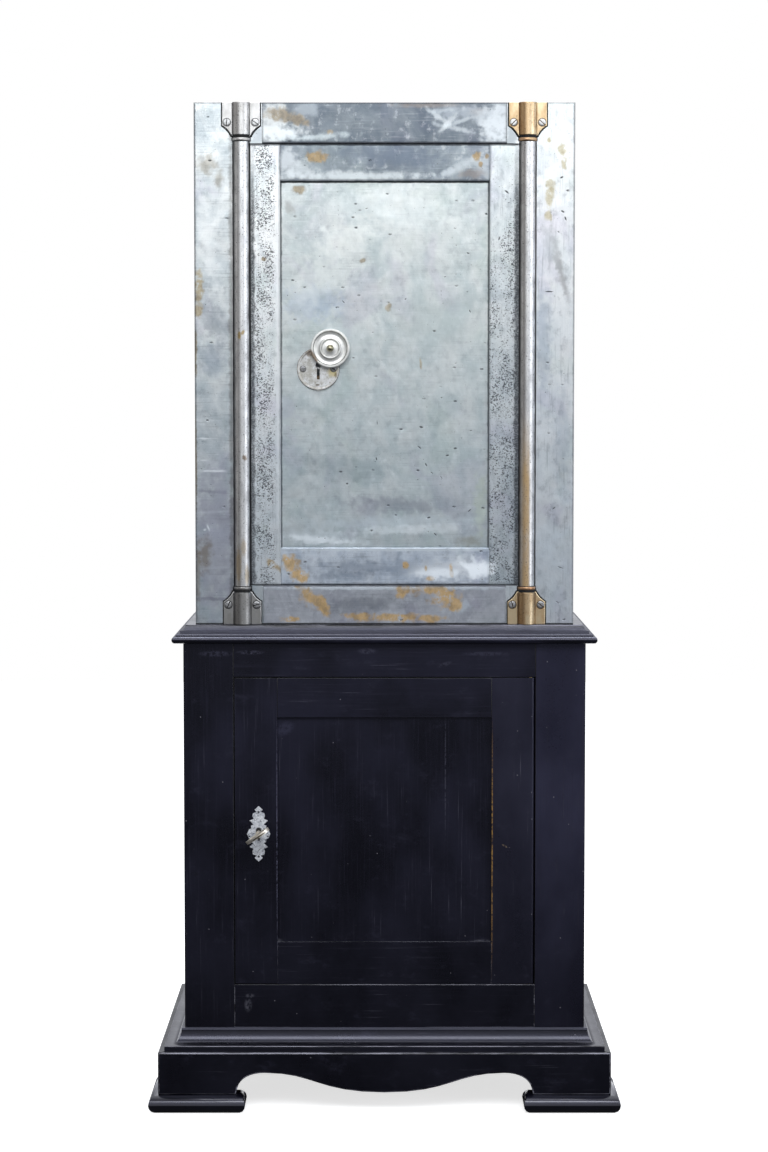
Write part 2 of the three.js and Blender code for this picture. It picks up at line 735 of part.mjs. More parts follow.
key.rotation.y = -THREE.MathUtils.degToRad(keyTilt);

// Cupboard top: a board glued up with three mitred lengths of moulding, which have a
// rounded nose under a small hollow.
function cupboardTop() {
    const noseCentreOut = noseOut - noseRadius;
    const nose = arc(noseCentreOut, carcaseTopZ + noseRadius, noseRadius, -90, 90, 6);
    const profile = [
        [noseOut - topMouldingWidth, carcaseTopZ],
        ...nose,
        [topShelfOut, carcaseTopZ + topStepHeight],
        [topStepOut, carcaseTopZ + topStepHeight + topStepBevel],
        [topStepOut, carcaseTopZ + topChamferHeight],
        ...arc(topStepOut, safeZ, 1, 270, 180, 3).slice(1, -1).map(([a, b]) => [
            topStepOut + (a - topStepOut) * (topStepOut + topSetBack),
            safeZ + (b - safeZ) * (topHeight - topChamferHeight),
        ]),
        [-topSetBack, safeZ],
        [noseOut - topMouldingWidth, safeZ],
    ];
    const boardHalf = halfWidth + noseOut - topMouldingWidth + past;
    const boardFrontY = frontY - noseOut + topMouldingWidth - past;
    const board = box(-boardHalf, boardHalf, boardFrontY, backY, carcaseTopZ, safeZ);
    return join(...['front', 'left', 'right'].map((side) => mouldingLength(side, profile)), board);
}
piece('cupboard_top', 'ebonisedWood', cupboardTop());

// Safe shell: a box of plate, open to the front, welded to the back of the front frame.
const shellInnerHalf = safeHalf - shellThickness;
const shellBackInnerY = safeBackY - shellThickness;
piece('safe_shell', 'steel', cut(
    box(-safeHalf, safeHalf, frameBackY, safeBackY, safeZ, safeTopZ),
    box(-shellInnerHalf, shellInnerHalf, frameBackY - past, shellBackInnerY,
        safeZ + shellThickness, safeTopZ - shellThickness)));

// Brackets, screws and columns are set out from the four bracket places.
const bracketPlaces = [
    { name: 'bracket_top_left', finish: 'paleSteel', x: -columnX, up: 1, slots: [4, -35] },
    { name: 'bracket_bottom_left', finish: 'paleSteel', x: -columnX, up: -1, slots: [25, 75] },
    { name: 'bracket_top_right', finish: 'brass', x: columnX, up: 1, slots: [45, -40] },
    { name: 'bracket_bottom_right', finish: 'brass', x: columnX, up: -1, slots: [-15, -42] },
];
// Height at a distance in from the outer end of a bracket.
function bracketZ(up, distance) {
    return up > 0 ? safeTopZ - distance : safeZ + distance;
}
function screwPlaces(place) {
    const z = bracketZ(place.up, bracketScrewFromEnd);
    return [-1, 1].map((sign, i) => ({ x: place.x + sign * bracketScrewOffset, z, slot: place.slots[i] }));
}
const bracketFrontY = safeFrontY - bracketPlate;
const screwHoles = bracketPlaces.flatMap(screwPlaces).map(({ x, z }) => deepBar(
    screwShankRadius + fit, x, z, bracketFrontY - past, bracketFrontY + screwLength + fit, 16));

// Front frame: two stiles, hollowed for the columns and the bracket barrels, and two rails.
function frameStile(sign) {
    const points = [
        [safeHalf, safeZ], [safeHalf, safeTopZ], [frameCornerInner, safeTopZ],
        [frameCornerInner, safeOpeningTopZ], [frameStileInner, safeOpeningTopZ],
        [frameStileInner, safeOpeningBottomZ], [frameCornerInner, safeOpeningBottomZ],
        [frameCornerInner, safeZ],
    ];
    const placed = points.map(([x, z]) => [sign * x, z]);
    const inner = sign > 0 ? columnX + columnRadius + doorGap : frameStileInner;
    const relief = box(frameStileInner - past, inner, safeFrontY - past, frameBackY + past,
        safeOpeningBottomZ, safeOpeningTopZ);
    const groove = uprightBar(columnGrooveRadius, sign * columnX, safeFrontY, safeZ, safeTopZ);
    const barrelSeats = [-1, 1].map((up) => uprightBar(barrelRadius + fit, sign * columnX, safeFrontY,
        ...ordered(bracketZ(up, -past), bracketZ(up, beadStart + beadLength + fit))));
    const holes = screwHoles.filter((_, i) => Math.sign(bracketPlaces[Math.floor(i / 2)].x) === sign);
    const stile = cut(
        alongY(outline(placed), safeFrontY, frameBackY), groove, ...barrelSeats, ...holes);
    return sign > 0 ? cut(stile, relief) : stile;
}
piece('frame_stile_left', 'steel', frameStile(-1));
piece('frame_stile_right', 'steel', frameStile(1));
piece('frame_rail_top', 'steel', box(
    -frameCornerInner, frameCornerInner, safeFrontY, frameBackY, safeOpeningTopZ, safeTopZ));
piece('frame_rail_bottom', 'steel', box(
    -frameCornerInner, frameCornerInner, safeFrontY, frameBackY, safeZ, safeOpeningBottomZ));

// Lining: a sheet box open to the front, with fire-resisting filling rammed in round it.
const liningOuterHalf = liningHalfWidth + liningThickness;
const liningBottomZ = safeOpeningBottomZ - liningOverDoor;
const liningTopZ = safeOpeningTopZ + liningOverDoor;
const liningBackY = frameBackY + liningDepth;
piece('lining', 'paleSteel', cut(
    box(-liningOuterHalf, liningOuterHalf, frameBackY, liningBackY + liningThickness,
        liningBottomZ - liningThickness, liningTopZ + liningThickness),
    box(-liningHalfWidth, liningHalfWidth, frameBackY - past, liningBackY, liningBottomZ, liningTopZ)));
piece('fire_filling', 'fireFilling', cut(
    box(-shellInnerHalf + fit, shellInnerHalf - fit, frameBackY + fit, shellBackInnerY - fit,
        safeZ + shellThickness + fit, safeTopZ - shellThickness - fit),
    box(-liningOuterHalf - fit, liningOuterHalf + fit,
        frameBackY - past, liningBackY + liningThickness + fit,
        liningBottomZ - liningThickness - fit, liningTopZ + liningThickness + fit)));

// Columns: round bars with a pin at each end that stands in its bracket. The left one is
// fixed, and the right one is welded to the door and turns with it.
function column(x) {
    const bottomZ = bracketZ(-1, beadStart + beadLength) + fit;
    const topZ = bracketZ(1, beadStart + beadLength) - fit;
    return turnedUpright([
        [0, bottomZ - columnPinLength],
        [columnPinRadius, bottomZ - columnPinLength],
        [columnPinRadius, bottomZ],
        [columnRadius, bottomZ],
        [columnRadius, topZ],
        [columnPinRadius, topZ],
        [columnPinRadius, topZ + columnPinLength],
        [0, topZ + columnPinLength],
    ], x, safeFrontY);
}
piece('column_left', 'steel', column(-columnX));

// Brackets: a flat flange with hollowed shoulders, and a barrel that ends in a bead.
function bracket(place) {
    const half = bracketWidth / 2;
    const z = (distance) => bracketZ(place.up, distance);
    const shoulder = [[half, bracketStraight], [barrelRadius, bracketShoulder]];
    const rightSide = [[half, 0], ...hollowBetween(...shoulder, bracketHollow, 4)];
    const leftSide = rightSide.map(([x, distance]) => [-x, distance]).reverse();
    const points = [...rightSide, ...leftSide].map(([x, distance]) => [place.x + x, z(distance)]);
    const rightHanded = place.up > 0 ? points.reverse() : points;
    const flange = alongY(outline(rightHanded), bracketFrontY, safeFrontY);
    const bead = arc(0, beadStart + beadLength / 2, beadLength / 2, -90, 90, 4).map(([a, b]) => [
        beadRadius - beadBulge + a * beadBulge / (beadLength / 2), b,
    ]);
    const profile = [
        [0, 0], [barrelRadius, 0], [barrelRadius, barrelLength], [neckRadius, barrelLength + neckEdge],
        [neckRadius, beadStart - neckEdge], ...bead, [0, beadStart + beadLength],
    ].map(([radius, distance]) => [radius, z(distance)]);
    const barrel = turnedUpright(place.up > 0 ? profile.reverse() : profile, place.x, safeFrontY, 24);
    const holes = screwPlaces(place).map((screw) => deepBar(
        screwShankRadius + fit, screw.x, screw.z, bracketFrontY - past, safeFrontY + past, 16));
    const boreEnds = ordered(z(beadStart + beadLength + past), z(beadStart + beadLength - boreDepth));
    const bore = uprightBar(columnPinRadius + fit, place.x, safeFrontY, ...boreEnds, 24);
    return cut(join(flange, barrel), bore, ...holes);
}
bracketPlaces.forEach((place) => piece(place.name, place.finish, bracket(place)));

// Slotted screws with a low round head.
function slottedScrew(x, faceY, z, slot) {
    const head = turnedForward([
        [0, -screwLength], [screwShankRadius, -screwLength], [screwShankRadius, 0],
        [screwHeadRadius, 0], [screwHeadRadius, screwHeadHeight * 0.6],
        [screwHeadRadius * 0.75, screwHeadHeight], [0, screwHeadHeight],
    ], 0, 0, 0, 16);
    const slotCut = box(-screwHeadRadius - past, screwHeadRadius + past,
        -screwHeadHeight - past, -screwHeadHeight + screwSlotDepth,
        -screwSlotWidth / 2, screwSlotWidth / 2);
    slotCut.rotateY(THREE.MathUtils.degToRad(90 + slot));
    return cut(head, slotCut).translate(x, faceY, z);
}
bracketPlaces.forEach((place) => screwPlaces(place).forEach(({ x, z, slot }, i) => {
    const side = ['left', 'right'][i];
    piece(`${place.name}_screw_${side}`, 'nickel', slottedScrew(x, bracketFrontY, z, slot));
}));

// Safe door: a plate that reaches behind the turning column, with four flat bars on its
// face that leave a sunk panel between them.
const doorFrontY = safeFrontY + doorSetBack;
const plateFrontY = doorFrontY + doorBarThickness;
const plateBackY = plateFrontY + doorPlateThickness;
const doorBottomZ = safeOpeningBottomZ + doorGap;
const doorTopZ = safeOpeningTopZ - doorGap;
const keyholeZ = (doorBottomZ + doorTopZ) / 2 - keyholeBelowMiddle;
const safeKeyholeFrontY = plateFrontY - escutcheonPlate - escutcheonRimHeight - past;
const safeKeyholeCut = join(
    deepBar(safeKeyholeRadius, keyholeX, keyholeZ + safeKeyholeTop,
        safeKeyholeFrontY, plateBackY + past, 20),
    box(keyholeX - safeKeyholeSlot / 2, keyholeX + safeKeyholeSlot / 2,
        safeKeyholeFrontY, plateBackY + past,
        keyholeZ - safeKeyholeBottom, keyholeZ + safeKeyholeTop));
piece('column_right', 'steel', column(columnX));
piece('door_plate', 'paleSteel', cut(
    box(-doorHalfWidth, columnX + doorPlateBehindColumn, plateFrontY, plateBackY, doorBottomZ, doorTopZ),
    uprightBar(columnRadius + fit, columnX, safeFrontY, doorBottomZ - past, doorTopZ + past),
    safeKeyholeCut));
const barRightX = columnX - columnRadius - fit;
const barInnerLeftX = -doorHalfWidth + doorStileBar;
const barInnerRightX = barRightX - doorStileBar;
piece('door_stile_left', 'steel', box(
    -doorHalfWidth, barInnerLeftX, doorFrontY, plateFrontY, doorBottomZ, doorTopZ));
piece('door_stile_right', 'steel', box(
    barInnerRightX, barRightX, doorFrontY, plateFrontY, doorBottomZ, doorTopZ));
piece('door_rail_top', 'steel', box(
    barInnerLeftX, barInnerRightX, doorFrontY, plateFrontY, doorTopZ - doorTopBar, doorTopZ));
piece('door_rail_bottom', 'steel', box(
    barInnerLeftX, barInnerRightX, doorFrontY, plateFrontY, doorBottomZ, doorBottomZ + doorBottomBar));

// Bolt work: four round bolts on a throw bar, with a tail that enters the lock.
const boltY = plateBackY + boltRadius + boltBehindPlate;
const caseBottomZ = doorBottomZ + caseMarginBottom;
const caseTopZ = doorTopZ - caseMarginTop;
const boltHeights = [
    caseBottomZ + boltFromCaseEnd,
    caseBottomZ + boltFromCaseEnd + boltPairSpacing,
    caseTopZ - boltFromCaseEnd - boltPairSpacing,
    caseTopZ - boltFromCaseEnd,
];
const throwBarY = boltY + boltBarSetBack;
const talonY = throwBarY - talonForward;
const talonZ = keyholeZ + safeKeyholeTop;
piece('safe_bolts', 'paleSteel', join(
    ...boltHeights.map((z) => crossBar(boltRadius, boltY, z, boltTip, boltTail)),
    box(boltTail - boltBarWidth, boltTail, throwBarY, throwBarY + boltBarThickness,
        boltHeights[0] - boltBarOverrun, boltHeights[3] + boltBarOverrun),
    box(boltTail - boltBarWidth / 2 - talonLength, boltTail - boltBarWidth / 2,
        talonY, talonY + talonThickness,
        talonZ - talonHeight / 2, talonZ + talonHeight / 2)));
function doorBackCase() {
    const whole = box(-caseHalfWidth, caseHalfWidth,
        plateBackY, plateBackY + caseDepth,
        caseBottomZ, caseTopZ);
    const hollow = box(-caseHalfWidth + caseWall, caseHalfWidth - caseWall,
        plateBackY - past, plateBackY + caseDepth - caseWall,
        caseBottomZ + caseWall, caseTopZ - caseWall);
    const holes = boltHeights.map((z) => crossBar(
        boltRadius + fit, boltY, z, -caseHalfWidth - past, -caseHalfWidth + caseWall + past));
    return cut(whole, hollow, ...holes);
}
piece('door_back_case', 'darkIron', doorBackCase());

// Lock: an iron case behind the keyhole, with a slot for the tail of the bolt work.
function safeLockCase() {
    const left = keyholeX - safeLockWidth / 2;
    const right = left + safeLockWidth;
    const bottomZ = talonZ - safeLockHeight / 2;
    const whole = box(left, right,
        plateBackY, plateBackY + safeLockDepth,
        bottomZ, bottomZ + safeLockHeight);
    const hollow = box(left + safeLockWall, right - safeLockWall,
        plateBackY - past, plateBackY + safeLockDepth - safeLockWall,
        bottomZ + safeLockWall, bottomZ + safeLockHeight - safeLockWall);
    const talonHole = box(right - safeLockWall - past, right + past,
        talonY - fit, talonY + talonThickness + fit,
        talonZ - talonHeight / 2 - fit, talonZ + talonHeight / 2 + fit);
    return cut(whole, hollow, talonHole);
}
piece('door_lock_case', 'darkIron', safeLockCase());

// Door escutcheon: a round plate with a thin raised rim and a small point at the bottom.
// A stud on it carries the keyhole cover.
const coverX = keyholeX + coverOffsetX;
const coverZ = keyholeZ + coverOffsetZ;
const coverPivotX = keyholeX;
const coverPivotZ = keyholeZ + coverPivotRise;
const coverBackReach = escutcheonPlate + escutcheonRimHeight + coverClearance;
function doorEscutcheon() {
    const disc = turnedForward([
        [0, 0], [escutcheonRadius, 0], [escutcheonRadius, escutcheonPlate + escutcheonRimHeight],
        [escutcheonRadius - escutcheonRimWidth, escutcheonPlate + escutcheonRimHeight],
        [escutcheonRadius - escutcheonRimWidth - escutcheonRimFoot, escutcheonPlate], [0, escutcheonPlate],
    ], keyholeX, plateFrontY, keyholeZ, 40);
    const point = outline([
        [keyholeX - escutcheonPoint, keyholeZ - escutcheonRadius + past],
        [keyholeX, keyholeZ - escutcheonRadius - escutcheonPoint / 2],
        [keyholeX + escutcheonPoint, keyholeZ - escutcheonRadius + past],
    ]);
    const stud = deepBar(pivotStudRadius, coverPivotX, coverPivotZ,
        plateFrontY - coverBackReach - pivotStudDepth + fit, plateFrontY - escutcheonPlate + past, 20);
    return cut(
        join(disc, alongY(point, plateFrontY - escutcheonPlate, plateFrontY), stud),
        safeKeyholeCut);
}
piece('door_escutcheon', 'nickel', doorEscutcheon());
// Keyhole cover: a turned disc with a round rim, a hollow, a raised ring and a ball. It
// swings on the stud, and hangs open to the right of the keyhole.
function keyholeCover() {
    const rim = arc(coverRadius - coverRimHalf, coverThickness - coverRimHalf, coverRimHalf, 0, 120, 4);
    const neckReach = coverThickness + coverNeckHeight;
    const ballReach = neckReach + coverBallRadius * Math.SQRT1_2;
    const ball = arc(0, ballReach, coverBallRadius, -45, 70, 4);
    const disc = turnedForward([
        [0, 0],
        [coverRadius - coverEdge, 0],
        [coverRadius, coverEdge],
        ...rim,
        [coverHollowOuter, coverThickness - coverHollowDepth],
        [coverHollowInner, coverThickness - coverHollowDepth],
        [coverRingRadius + coverRingHalf, coverThickness - coverRingHalf],
        [coverRingRadius, coverThickness],
        [coverRingRadius - coverRingHalf, coverThickness - coverRingHalf],
        [coverDishRadius, coverThickness - coverDishDepth],
        [coverNeckRadius, coverThickness - coverDishDepth],
        [coverNeckRadius, neckReach],
        ...ball,
        [0, ballReach + coverBallRadius],
    ], coverX, plateFrontY - coverBackReach, coverZ, 32);
    const studHole = deepBar(pivotStudRadius + fit, coverPivotX, coverPivotZ,
        plateFrontY - coverBackReach - pivotStudDepth, plateFrontY, 20);
    return cut(disc, studHole);
}
piece('keyhole_cover', 'nickel', keyholeCover());

export default object;
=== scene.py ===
import json
import math

import bmesh
import bpy
import numpy as np
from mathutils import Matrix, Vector


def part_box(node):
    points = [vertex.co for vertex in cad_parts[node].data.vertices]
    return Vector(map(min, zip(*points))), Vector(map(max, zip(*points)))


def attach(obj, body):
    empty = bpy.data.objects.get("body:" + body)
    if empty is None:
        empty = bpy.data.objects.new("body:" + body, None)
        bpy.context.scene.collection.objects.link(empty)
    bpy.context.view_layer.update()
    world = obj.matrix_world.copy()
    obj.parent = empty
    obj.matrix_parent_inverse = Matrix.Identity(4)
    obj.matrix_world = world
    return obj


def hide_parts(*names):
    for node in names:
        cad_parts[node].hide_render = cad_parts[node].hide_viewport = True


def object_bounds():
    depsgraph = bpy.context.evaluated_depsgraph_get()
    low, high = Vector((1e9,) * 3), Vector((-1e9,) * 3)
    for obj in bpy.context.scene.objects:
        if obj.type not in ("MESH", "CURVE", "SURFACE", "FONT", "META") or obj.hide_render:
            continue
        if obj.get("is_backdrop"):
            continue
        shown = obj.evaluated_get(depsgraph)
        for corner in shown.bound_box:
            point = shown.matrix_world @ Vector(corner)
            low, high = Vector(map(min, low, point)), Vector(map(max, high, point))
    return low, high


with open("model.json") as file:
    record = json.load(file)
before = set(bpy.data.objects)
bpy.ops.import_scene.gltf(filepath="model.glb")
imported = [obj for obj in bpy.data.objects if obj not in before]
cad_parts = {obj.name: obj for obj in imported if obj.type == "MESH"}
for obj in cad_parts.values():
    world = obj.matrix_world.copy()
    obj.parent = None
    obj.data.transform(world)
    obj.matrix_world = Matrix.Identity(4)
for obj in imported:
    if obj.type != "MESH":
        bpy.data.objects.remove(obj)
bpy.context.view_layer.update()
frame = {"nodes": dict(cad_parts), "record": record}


# Camera and light
# The camera stands about four metres in front, a little above the cupboard, and looks
# slightly down. Soft boxes hang above it and above the object and stand left and right.
focal_pixels = 2750
photo_height = 1152
sensor_height = 36
camera_place = (-0.0007, -4.2826, 1.0642)
camera_dip = 3.7

# The scene is in metres. The object and its patterns are measured in millimetres.
mm = 0.001


def placed(name, data):
    """A new object in the scene."""
    piece = bpy.data.objects.new(name, data)
    bpy.context.scene.collection.objects.link(piece)
    return piece


camera_data = bpy.data.cameras.new("camera")
camera_data.sensor_width = sensor_height
camera_data.lens = focal_pixels / photo_height * sensor_height
camera = placed("camera", camera_data)
camera.location = camera_place
camera.rotation_euler = (math.radians(90 - camera_dip), 0, 0)
bpy.context.scene.camera = camera
bpy.context.scene.view_settings.view_transform = "Standard"


def linear(code):
    """The scene colour of an sRGB hex code."""
    channels = [int(code[i:i + 2], 16) / 255 for i in (1, 3, 5)]
    return tuple(
        c / 12.92 if c <= 0.04045 else ((c + 0.055) / 1.055) ** 2.4 for c in channels
    ) + (1.0,)


def soft_box(name, place, target, width, height, watts, colour):
    """A rectangular area light that faces its target."""
    data = bpy.data.lights.new(name, "AREA")
    data.shape = "RECTANGLE"
    data.size = width
    data.size_y = height
    data.energy = watts
    data.color = linear(colour)[:3]
    light = placed(name, data)
    light.location = place
    light.rotation_euler = (Vector(target) - Vector(place)).to_track_quat("-Z", "Y").to_euler()


soft_box("box_above", (0.0, -3.4, 3.1), (0, 0, 1.2), 3.0, 1.6, 84, "#FBFDFF")
soft_box("box_left", (-3.0, -1.0, 1.6), (0, 0, 0.9), 1.4, 2.6, 12, "#FDFEFF")
soft_box("box_right", (3.0, -1.9, 1.5), (0, 0, 0.9), 1.3, 2.8, 42, "#F6F9FF")
soft_box("box_top", (0.0, 0.3, 3.6), (0, 0, 0), 2.4, 2.0, 34, "#FAFBFF")


class Field:
    """What a shader node gives at each point. Fields add and multiply as numbers do."""

    def __init__(self, socket):
        self.socket = socket

    def __add__(self, other):
        return add("Math", [self, other], operation="ADD")

    def __sub__(self, other):
        return add("Math", [self, other], operation="SUBTRACT")

    def __rsub__(self, other):
        return add("Math", [other, self], operation="SUBTRACT")

    def __mul__(self, other):
        return add("Math", [self, other], operation="MULTIPLY")

    def __rmul__(self, other):
        return self * other

    def __abs__(self):
        return add("Math", [self], operation="ABSOLUTE")


def add(kind, inputs=(), output=0, tree=None, **settings):
    """Adds a shader node and returns one of its outputs.

    The inputs, in order or by name, are fields, numbers, vectors and sRGB hex codes. The
    tree is that of the fields, and is given only where there is none among them.
    """
    inputs = inputs if isinstance(inputs, dict) else dict(enumerate(inputs))
    for value in inputs.values():
        tree = value.socket.id_data if isinstance(value, Field) else tree
    node = tree.nodes.new("ShaderNode" + kind)
    for name, value in settings.items():
        setattr(node, name, value)
    for key, value in inputs.items():
        if isinstance(value, Field):
            tree.links.new(value.socket, node.inputs[key])
        else:
            node.inputs[key].default_value = linear(value) if isinstance(value, str) else value
    return Field(node.outputs[output]) if node.outputs else None


def ease(value, low, high, start_value=0.0, end_value=1.0):
    """A smooth step of the value between low and high."""
    inputs = [value, low, high, start_value, end_value]
    return add("MapRange", inputs, interpolation_type="SMOOTHSTEP")


def most(values):
    """The largest of several amounts."""
    result = values[0]
    for value in values[1:]:
        result = add("Math", [result, value], operation="MAXIMUM")
    return result


def split(place):
    """The x, y and z of a place or a direction."""
    parts = add("SeparateXYZ", [place]).socket.node.outputs
    return [Field(part) for part in parts]


def studio_world():
    """White to the camera; to everything else a room that is darker to the left and the floor.

    Gloss also meets the white backdrop that stands behind the object.
    """
    world = bpy.data.worlds.new("studio")
    world.use_nodes = True
    tree = world.node_tree
    tree.nodes.clear()
    east, north, height = split(add("TexCoord", output="Generated", tree=tree))
    level = ease(height, -0.35, 0.5, 0.34, 0.88) * ease(east, -0.8, -0.2, 0.34, 1.0)
    level = level * ease(east, 0.5, 0.95, 1.0, 0.7)
    level = most([level, ease(north, 0.5, 0.85) * add("LightPath", (), "Is Glossy Ray", tree)])
    room = add("Background", ["#F2F4F8", level])
    white = add("Background", ["#FFFFFF", 1.0], tree=tree)
    to_camera = add("LightPath", (), "Is Camera Ray", tree)
    add("OutputWorld", [add("MixShader", [to_camera, room, white])])
    bpy.context.scene.world = world


def start(name):
    """A new material, and the place on the object in millimetres for its patterns."""
    material = bpy.data.materials.new(name)
    material.use_nodes = True
    material.node_tree.nodes.clear()
    metres = add("TexCoord", (), "Object", material.node_tree)
    return material, add("VectorMath", [metres, (1 / mm,) * 3], operation="MULTIPLY")


def studio_floor():
    """A pale floor, light enough to run into the white background, that keeps a soft shadow.

    It is dim in front, where the studio is dark, and white paper from the object backwards.
    """
    half = 6.0
    mesh = bpy.data.meshes.new("floor")
    corners = [(-half, -half, 0), (half, -half, 0), (half, half, 0), (-half, half, 0)]
    mesh.from_pydata(corners, [], [(0, 1, 2, 3)])
    material, where = start("matt_paper_floor")
    tree = material.node_tree
    paper = add("BsdfDiffuse", ["#F2F2F2"], tree=tree)
    lift = add("Emission", ["#FFFFFF", 0.70], tree=tree)
    dim = add("BsdfDiffuse", ["#4A4A4C"], tree=tree)
    to_gloss = add("LightPath", (), "Is Glossy Ray", tree)
    behind = ease(split(where)[1], 0, 600) * to_gloss
    seen = most([add("LightPath", (), "Is Camera Ray", tree), behind])
    add("OutputMaterial", [add("MixShader", [seen, dim, add("AddShader", [paper, lift])])])
    mesh.materials.append(material)
    placed("floor", mesh)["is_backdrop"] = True


studio_world()
studio_floor()


# Ebonised boards
# Pads, plinth, mouldings, carcase and face frame are of close-grained wood stained near
# black and waxed. Handling has rubbed the eased edges paler and left small pale specks.
# The crest of the cupboard top's nose carries a painted highlight, its ledges and the top of
# the base cove a pale tone of dust and painted sheen, the right stiles are lighter as a
# painted sheen, and all boards are darker towards the floor as painted shade.
def scaled(where, sizes):
    """The place divided by a size for each axis."""
    return add("VectorMath", [where, [1 / size for size in sizes]], operation="MULTIPLY")


def streaks(along, width, length):
    """The sizes of a pattern that is drawn out along one axis."""
    return tuple(length if axis == along else width for axis in "xyz")


def noise(where, sizes, detail=3.0, roughness=0.5, warp=0.0):
    """Soft noise from 0 to 1 in patches of about one size, or of a size for each axis."""
    sizes = sizes if isinstance(sizes, tuple) else (sizes,) * 3
    return add("TexNoise", {
        "Vector": scaled(where, sizes), "Scale": 1.0, "Detail": detail,
        "Roughness": roughness, "Distortion": warp,
    })


def pits(where, size, share, radius=0.28, stretch=(1, 1, 1)):
    """Small round or drawn-out marks: one in some of the cells of a cell noise."""
    cells = scaled(where, [size * s for s in stretch])
    distance = add("TexVoronoi", {"Vector": cells, "Scale": 1.0}, "Distance")
    chosen = add("SeparateColor", [Field(distance.socket.node.outputs["Color"])])
    return ease(chosen, share, share * 0.6) * ease(distance, radius, radius * 0.4)


def spot(where, ragged, x, z, half_width, half_height, turn=0.0, edge=0.45):
    """A ragged oval on the front: one inside, falling to none outside."""
    offset = add("VectorMath", [where, (x, 0.0, z)], operation="SUBTRACT")
    cosine = math.cos(math.radians(turn))
    sine = math.sin(math.radians(turn))
    axes = [
        (cosine / half_width, 0.0, sine / half_width),
        (-sine / half_height, 0.0, cosine / half_height),
    ]
    parts = [add("VectorMath", [offset, axis], "Value", operation="DOT_PRODUCT") for axis in axes]
    reach = add("VectorMath", [add("CombineXYZ", parts)], "Value", operation="LENGTH")
    return ease(reach + ragged, 1.0 + edge, 1.0 - edge)


def layered(colour, *layers):
    """The colour with (tone, amount) layers over it, one after another."""
    for tone, amount in layers:
        colour = add("Mix", {0: amount, 6: colour, 7: tone}, 2, data_type="RGBA")
    return colour


def marked(colour, where, ragged, marks, edge=0.45, broken=1.0):
    """The colour with marks over it: (x, z, half width, half height, turn, tone, amount)."""
    for *oval, tone, amount in marks:
        colour = layered(colour, (tone, spot(where, ragged, *oval, edge) * broken * amount))
    return colour


def bump(height, depth, strength, under=None):
    """The relief of a height field from 0 to 1 that spans a depth."""
    inputs = {"Height": height, "Distance": depth * mm, "Strength": strength}
    if under:
        inputs["Normal"] = under
    return add("Bump", inputs)


def finish(material, colour, rough, relief=None, metallic=0.0, gloss=()):
    """Gives the material its surface; gloss is a dict of further inputs."""
    inputs = {"Base Color": colour, "Roughness": rough, "Metallic": metallic, **dict(gloss)}
    if relief:
        inputs["Normal"] = relief
    add("OutputMaterial", [add("BsdfPrincipled", inputs)])
    return material


def ebonised_wood(name, along, marks=(), polish=0.0, tones=("#040408", "#11111E")):
    """Black stained and waxed wood; polish tells how much wax shine lies on it.

    Marks are of rubbed or chipped places. Towards the floor the colour is darkened, as
    painted shade.
    """
    material, where = start("ebonised_pearwood_" + name)
    grain = noise(where, streaks(along, 1.6, 90), detail=4.0, roughness=0.6)
    cloud = noise(where, (90, 90, 160), detail=4.0)
    fine = noise(where, 6, detail=5.0, roughness=0.7)
    scuffs = noise(where, (50, 50, 30), detail=6.0, roughness=0.75)
    hairs = ease(grain, 0.64, 0.76) * ease(cloud, 0.4, 0.6)
    colour = layered(
        tones[0], (tones[1], ease(cloud, 0.3, 0.75)),
        ("#1C1B26", ease(grain, 0.5, 0.75) * 0.7),
        # painted shade: darker towards the floor
        ("#040407", ease(split(where)[2], 500, 50, 0.0, 0.75)),
        ("#8B8890", pits(where, 11, 0.1, radius=0.1) * 0.6),
        ("#262632", ease(scuffs, 0.54, 0.76) * 0.6),
        ("#565662", hairs * 0.5),
    )
    colour = marked(colour, where, fine - 0.5, marks, broken=ease(fine, 0.4, 0.55))
    rough = ease(cloud + fine * 0.4, 0.45, 0.95, 0.25, 0.40)
    waves = noise(where, (30, 30, 120), detail=2.0)
    return finish(
        material, colour, rough, bump(waves, 0.9, 0.35, bump(grain, 0.12, 0.5)),
        gloss={"Specular IOR Level": 0.45, "Specular Tint": "#DADCFF", "Coat Weight": polish,
               "Coat Roughness": 0.13, "Coat Tint": "#F2F3FF"},
    )


def rubbed_wood(name, tone, share, sizes=25):
    """The same wood on an eased edge, pale in patches: rubbed through in places, and on the nose and
    the ledges a painted highlight and sheen.
    """
    material, where = start("ebonised_pearwood_" + name)
    patchy = noise(where, sizes, detail=6.0, roughness=0.7)
    colour = layered("#101016", (tone, ease(patchy, 0.78 - share, 0.98 - share)))
    return finish(material, colour, 0.4, gloss={"Specular IOR Level": 0.4})


wood_upright = ebonised_wood("upright", "z")
wood_across = ebonised_wood("across", "x")
wood_deep = ebonised_wood("front_to_back", "y")
wood_waxed = ebonised_wood("waxed_moulding", "x", polish=0.4)
wood_pads = ebonised_wood("waxed_pads", "x", polish=1.0)
edge_worn = rubbed_wood("rubbed_edge", "#3A3A44", 0.22)
edge_pale = rubbed_wood("rubbed_moulding", "#858592", 0.38, (140, 140, 10))
# These two are painted light: a pale tone of dust and painted sheen on the ledges and the cove top, and
# a painted highlight on the crest of the nose.
edge_dust_and_sheen = rubbed_wood("dust_and_sheen_hollow", "#4B4C59", 0.50, (200, 200, 6))
edge_painted_highlight = rubbed_wood("nose_painted_highlight", "#9EA1B2", 0.46, (200, 200, 6))
body_of = {
    name: body
    for body, names in frame["record"]["behaviour"]["bodies"].items()
    for name in names
}
flat_angle = 35
curved_angle = 40


def box(node):
    """The lowest and the highest corner of a CAD node."""
    low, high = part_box(node)
    return low / mm, high / mm


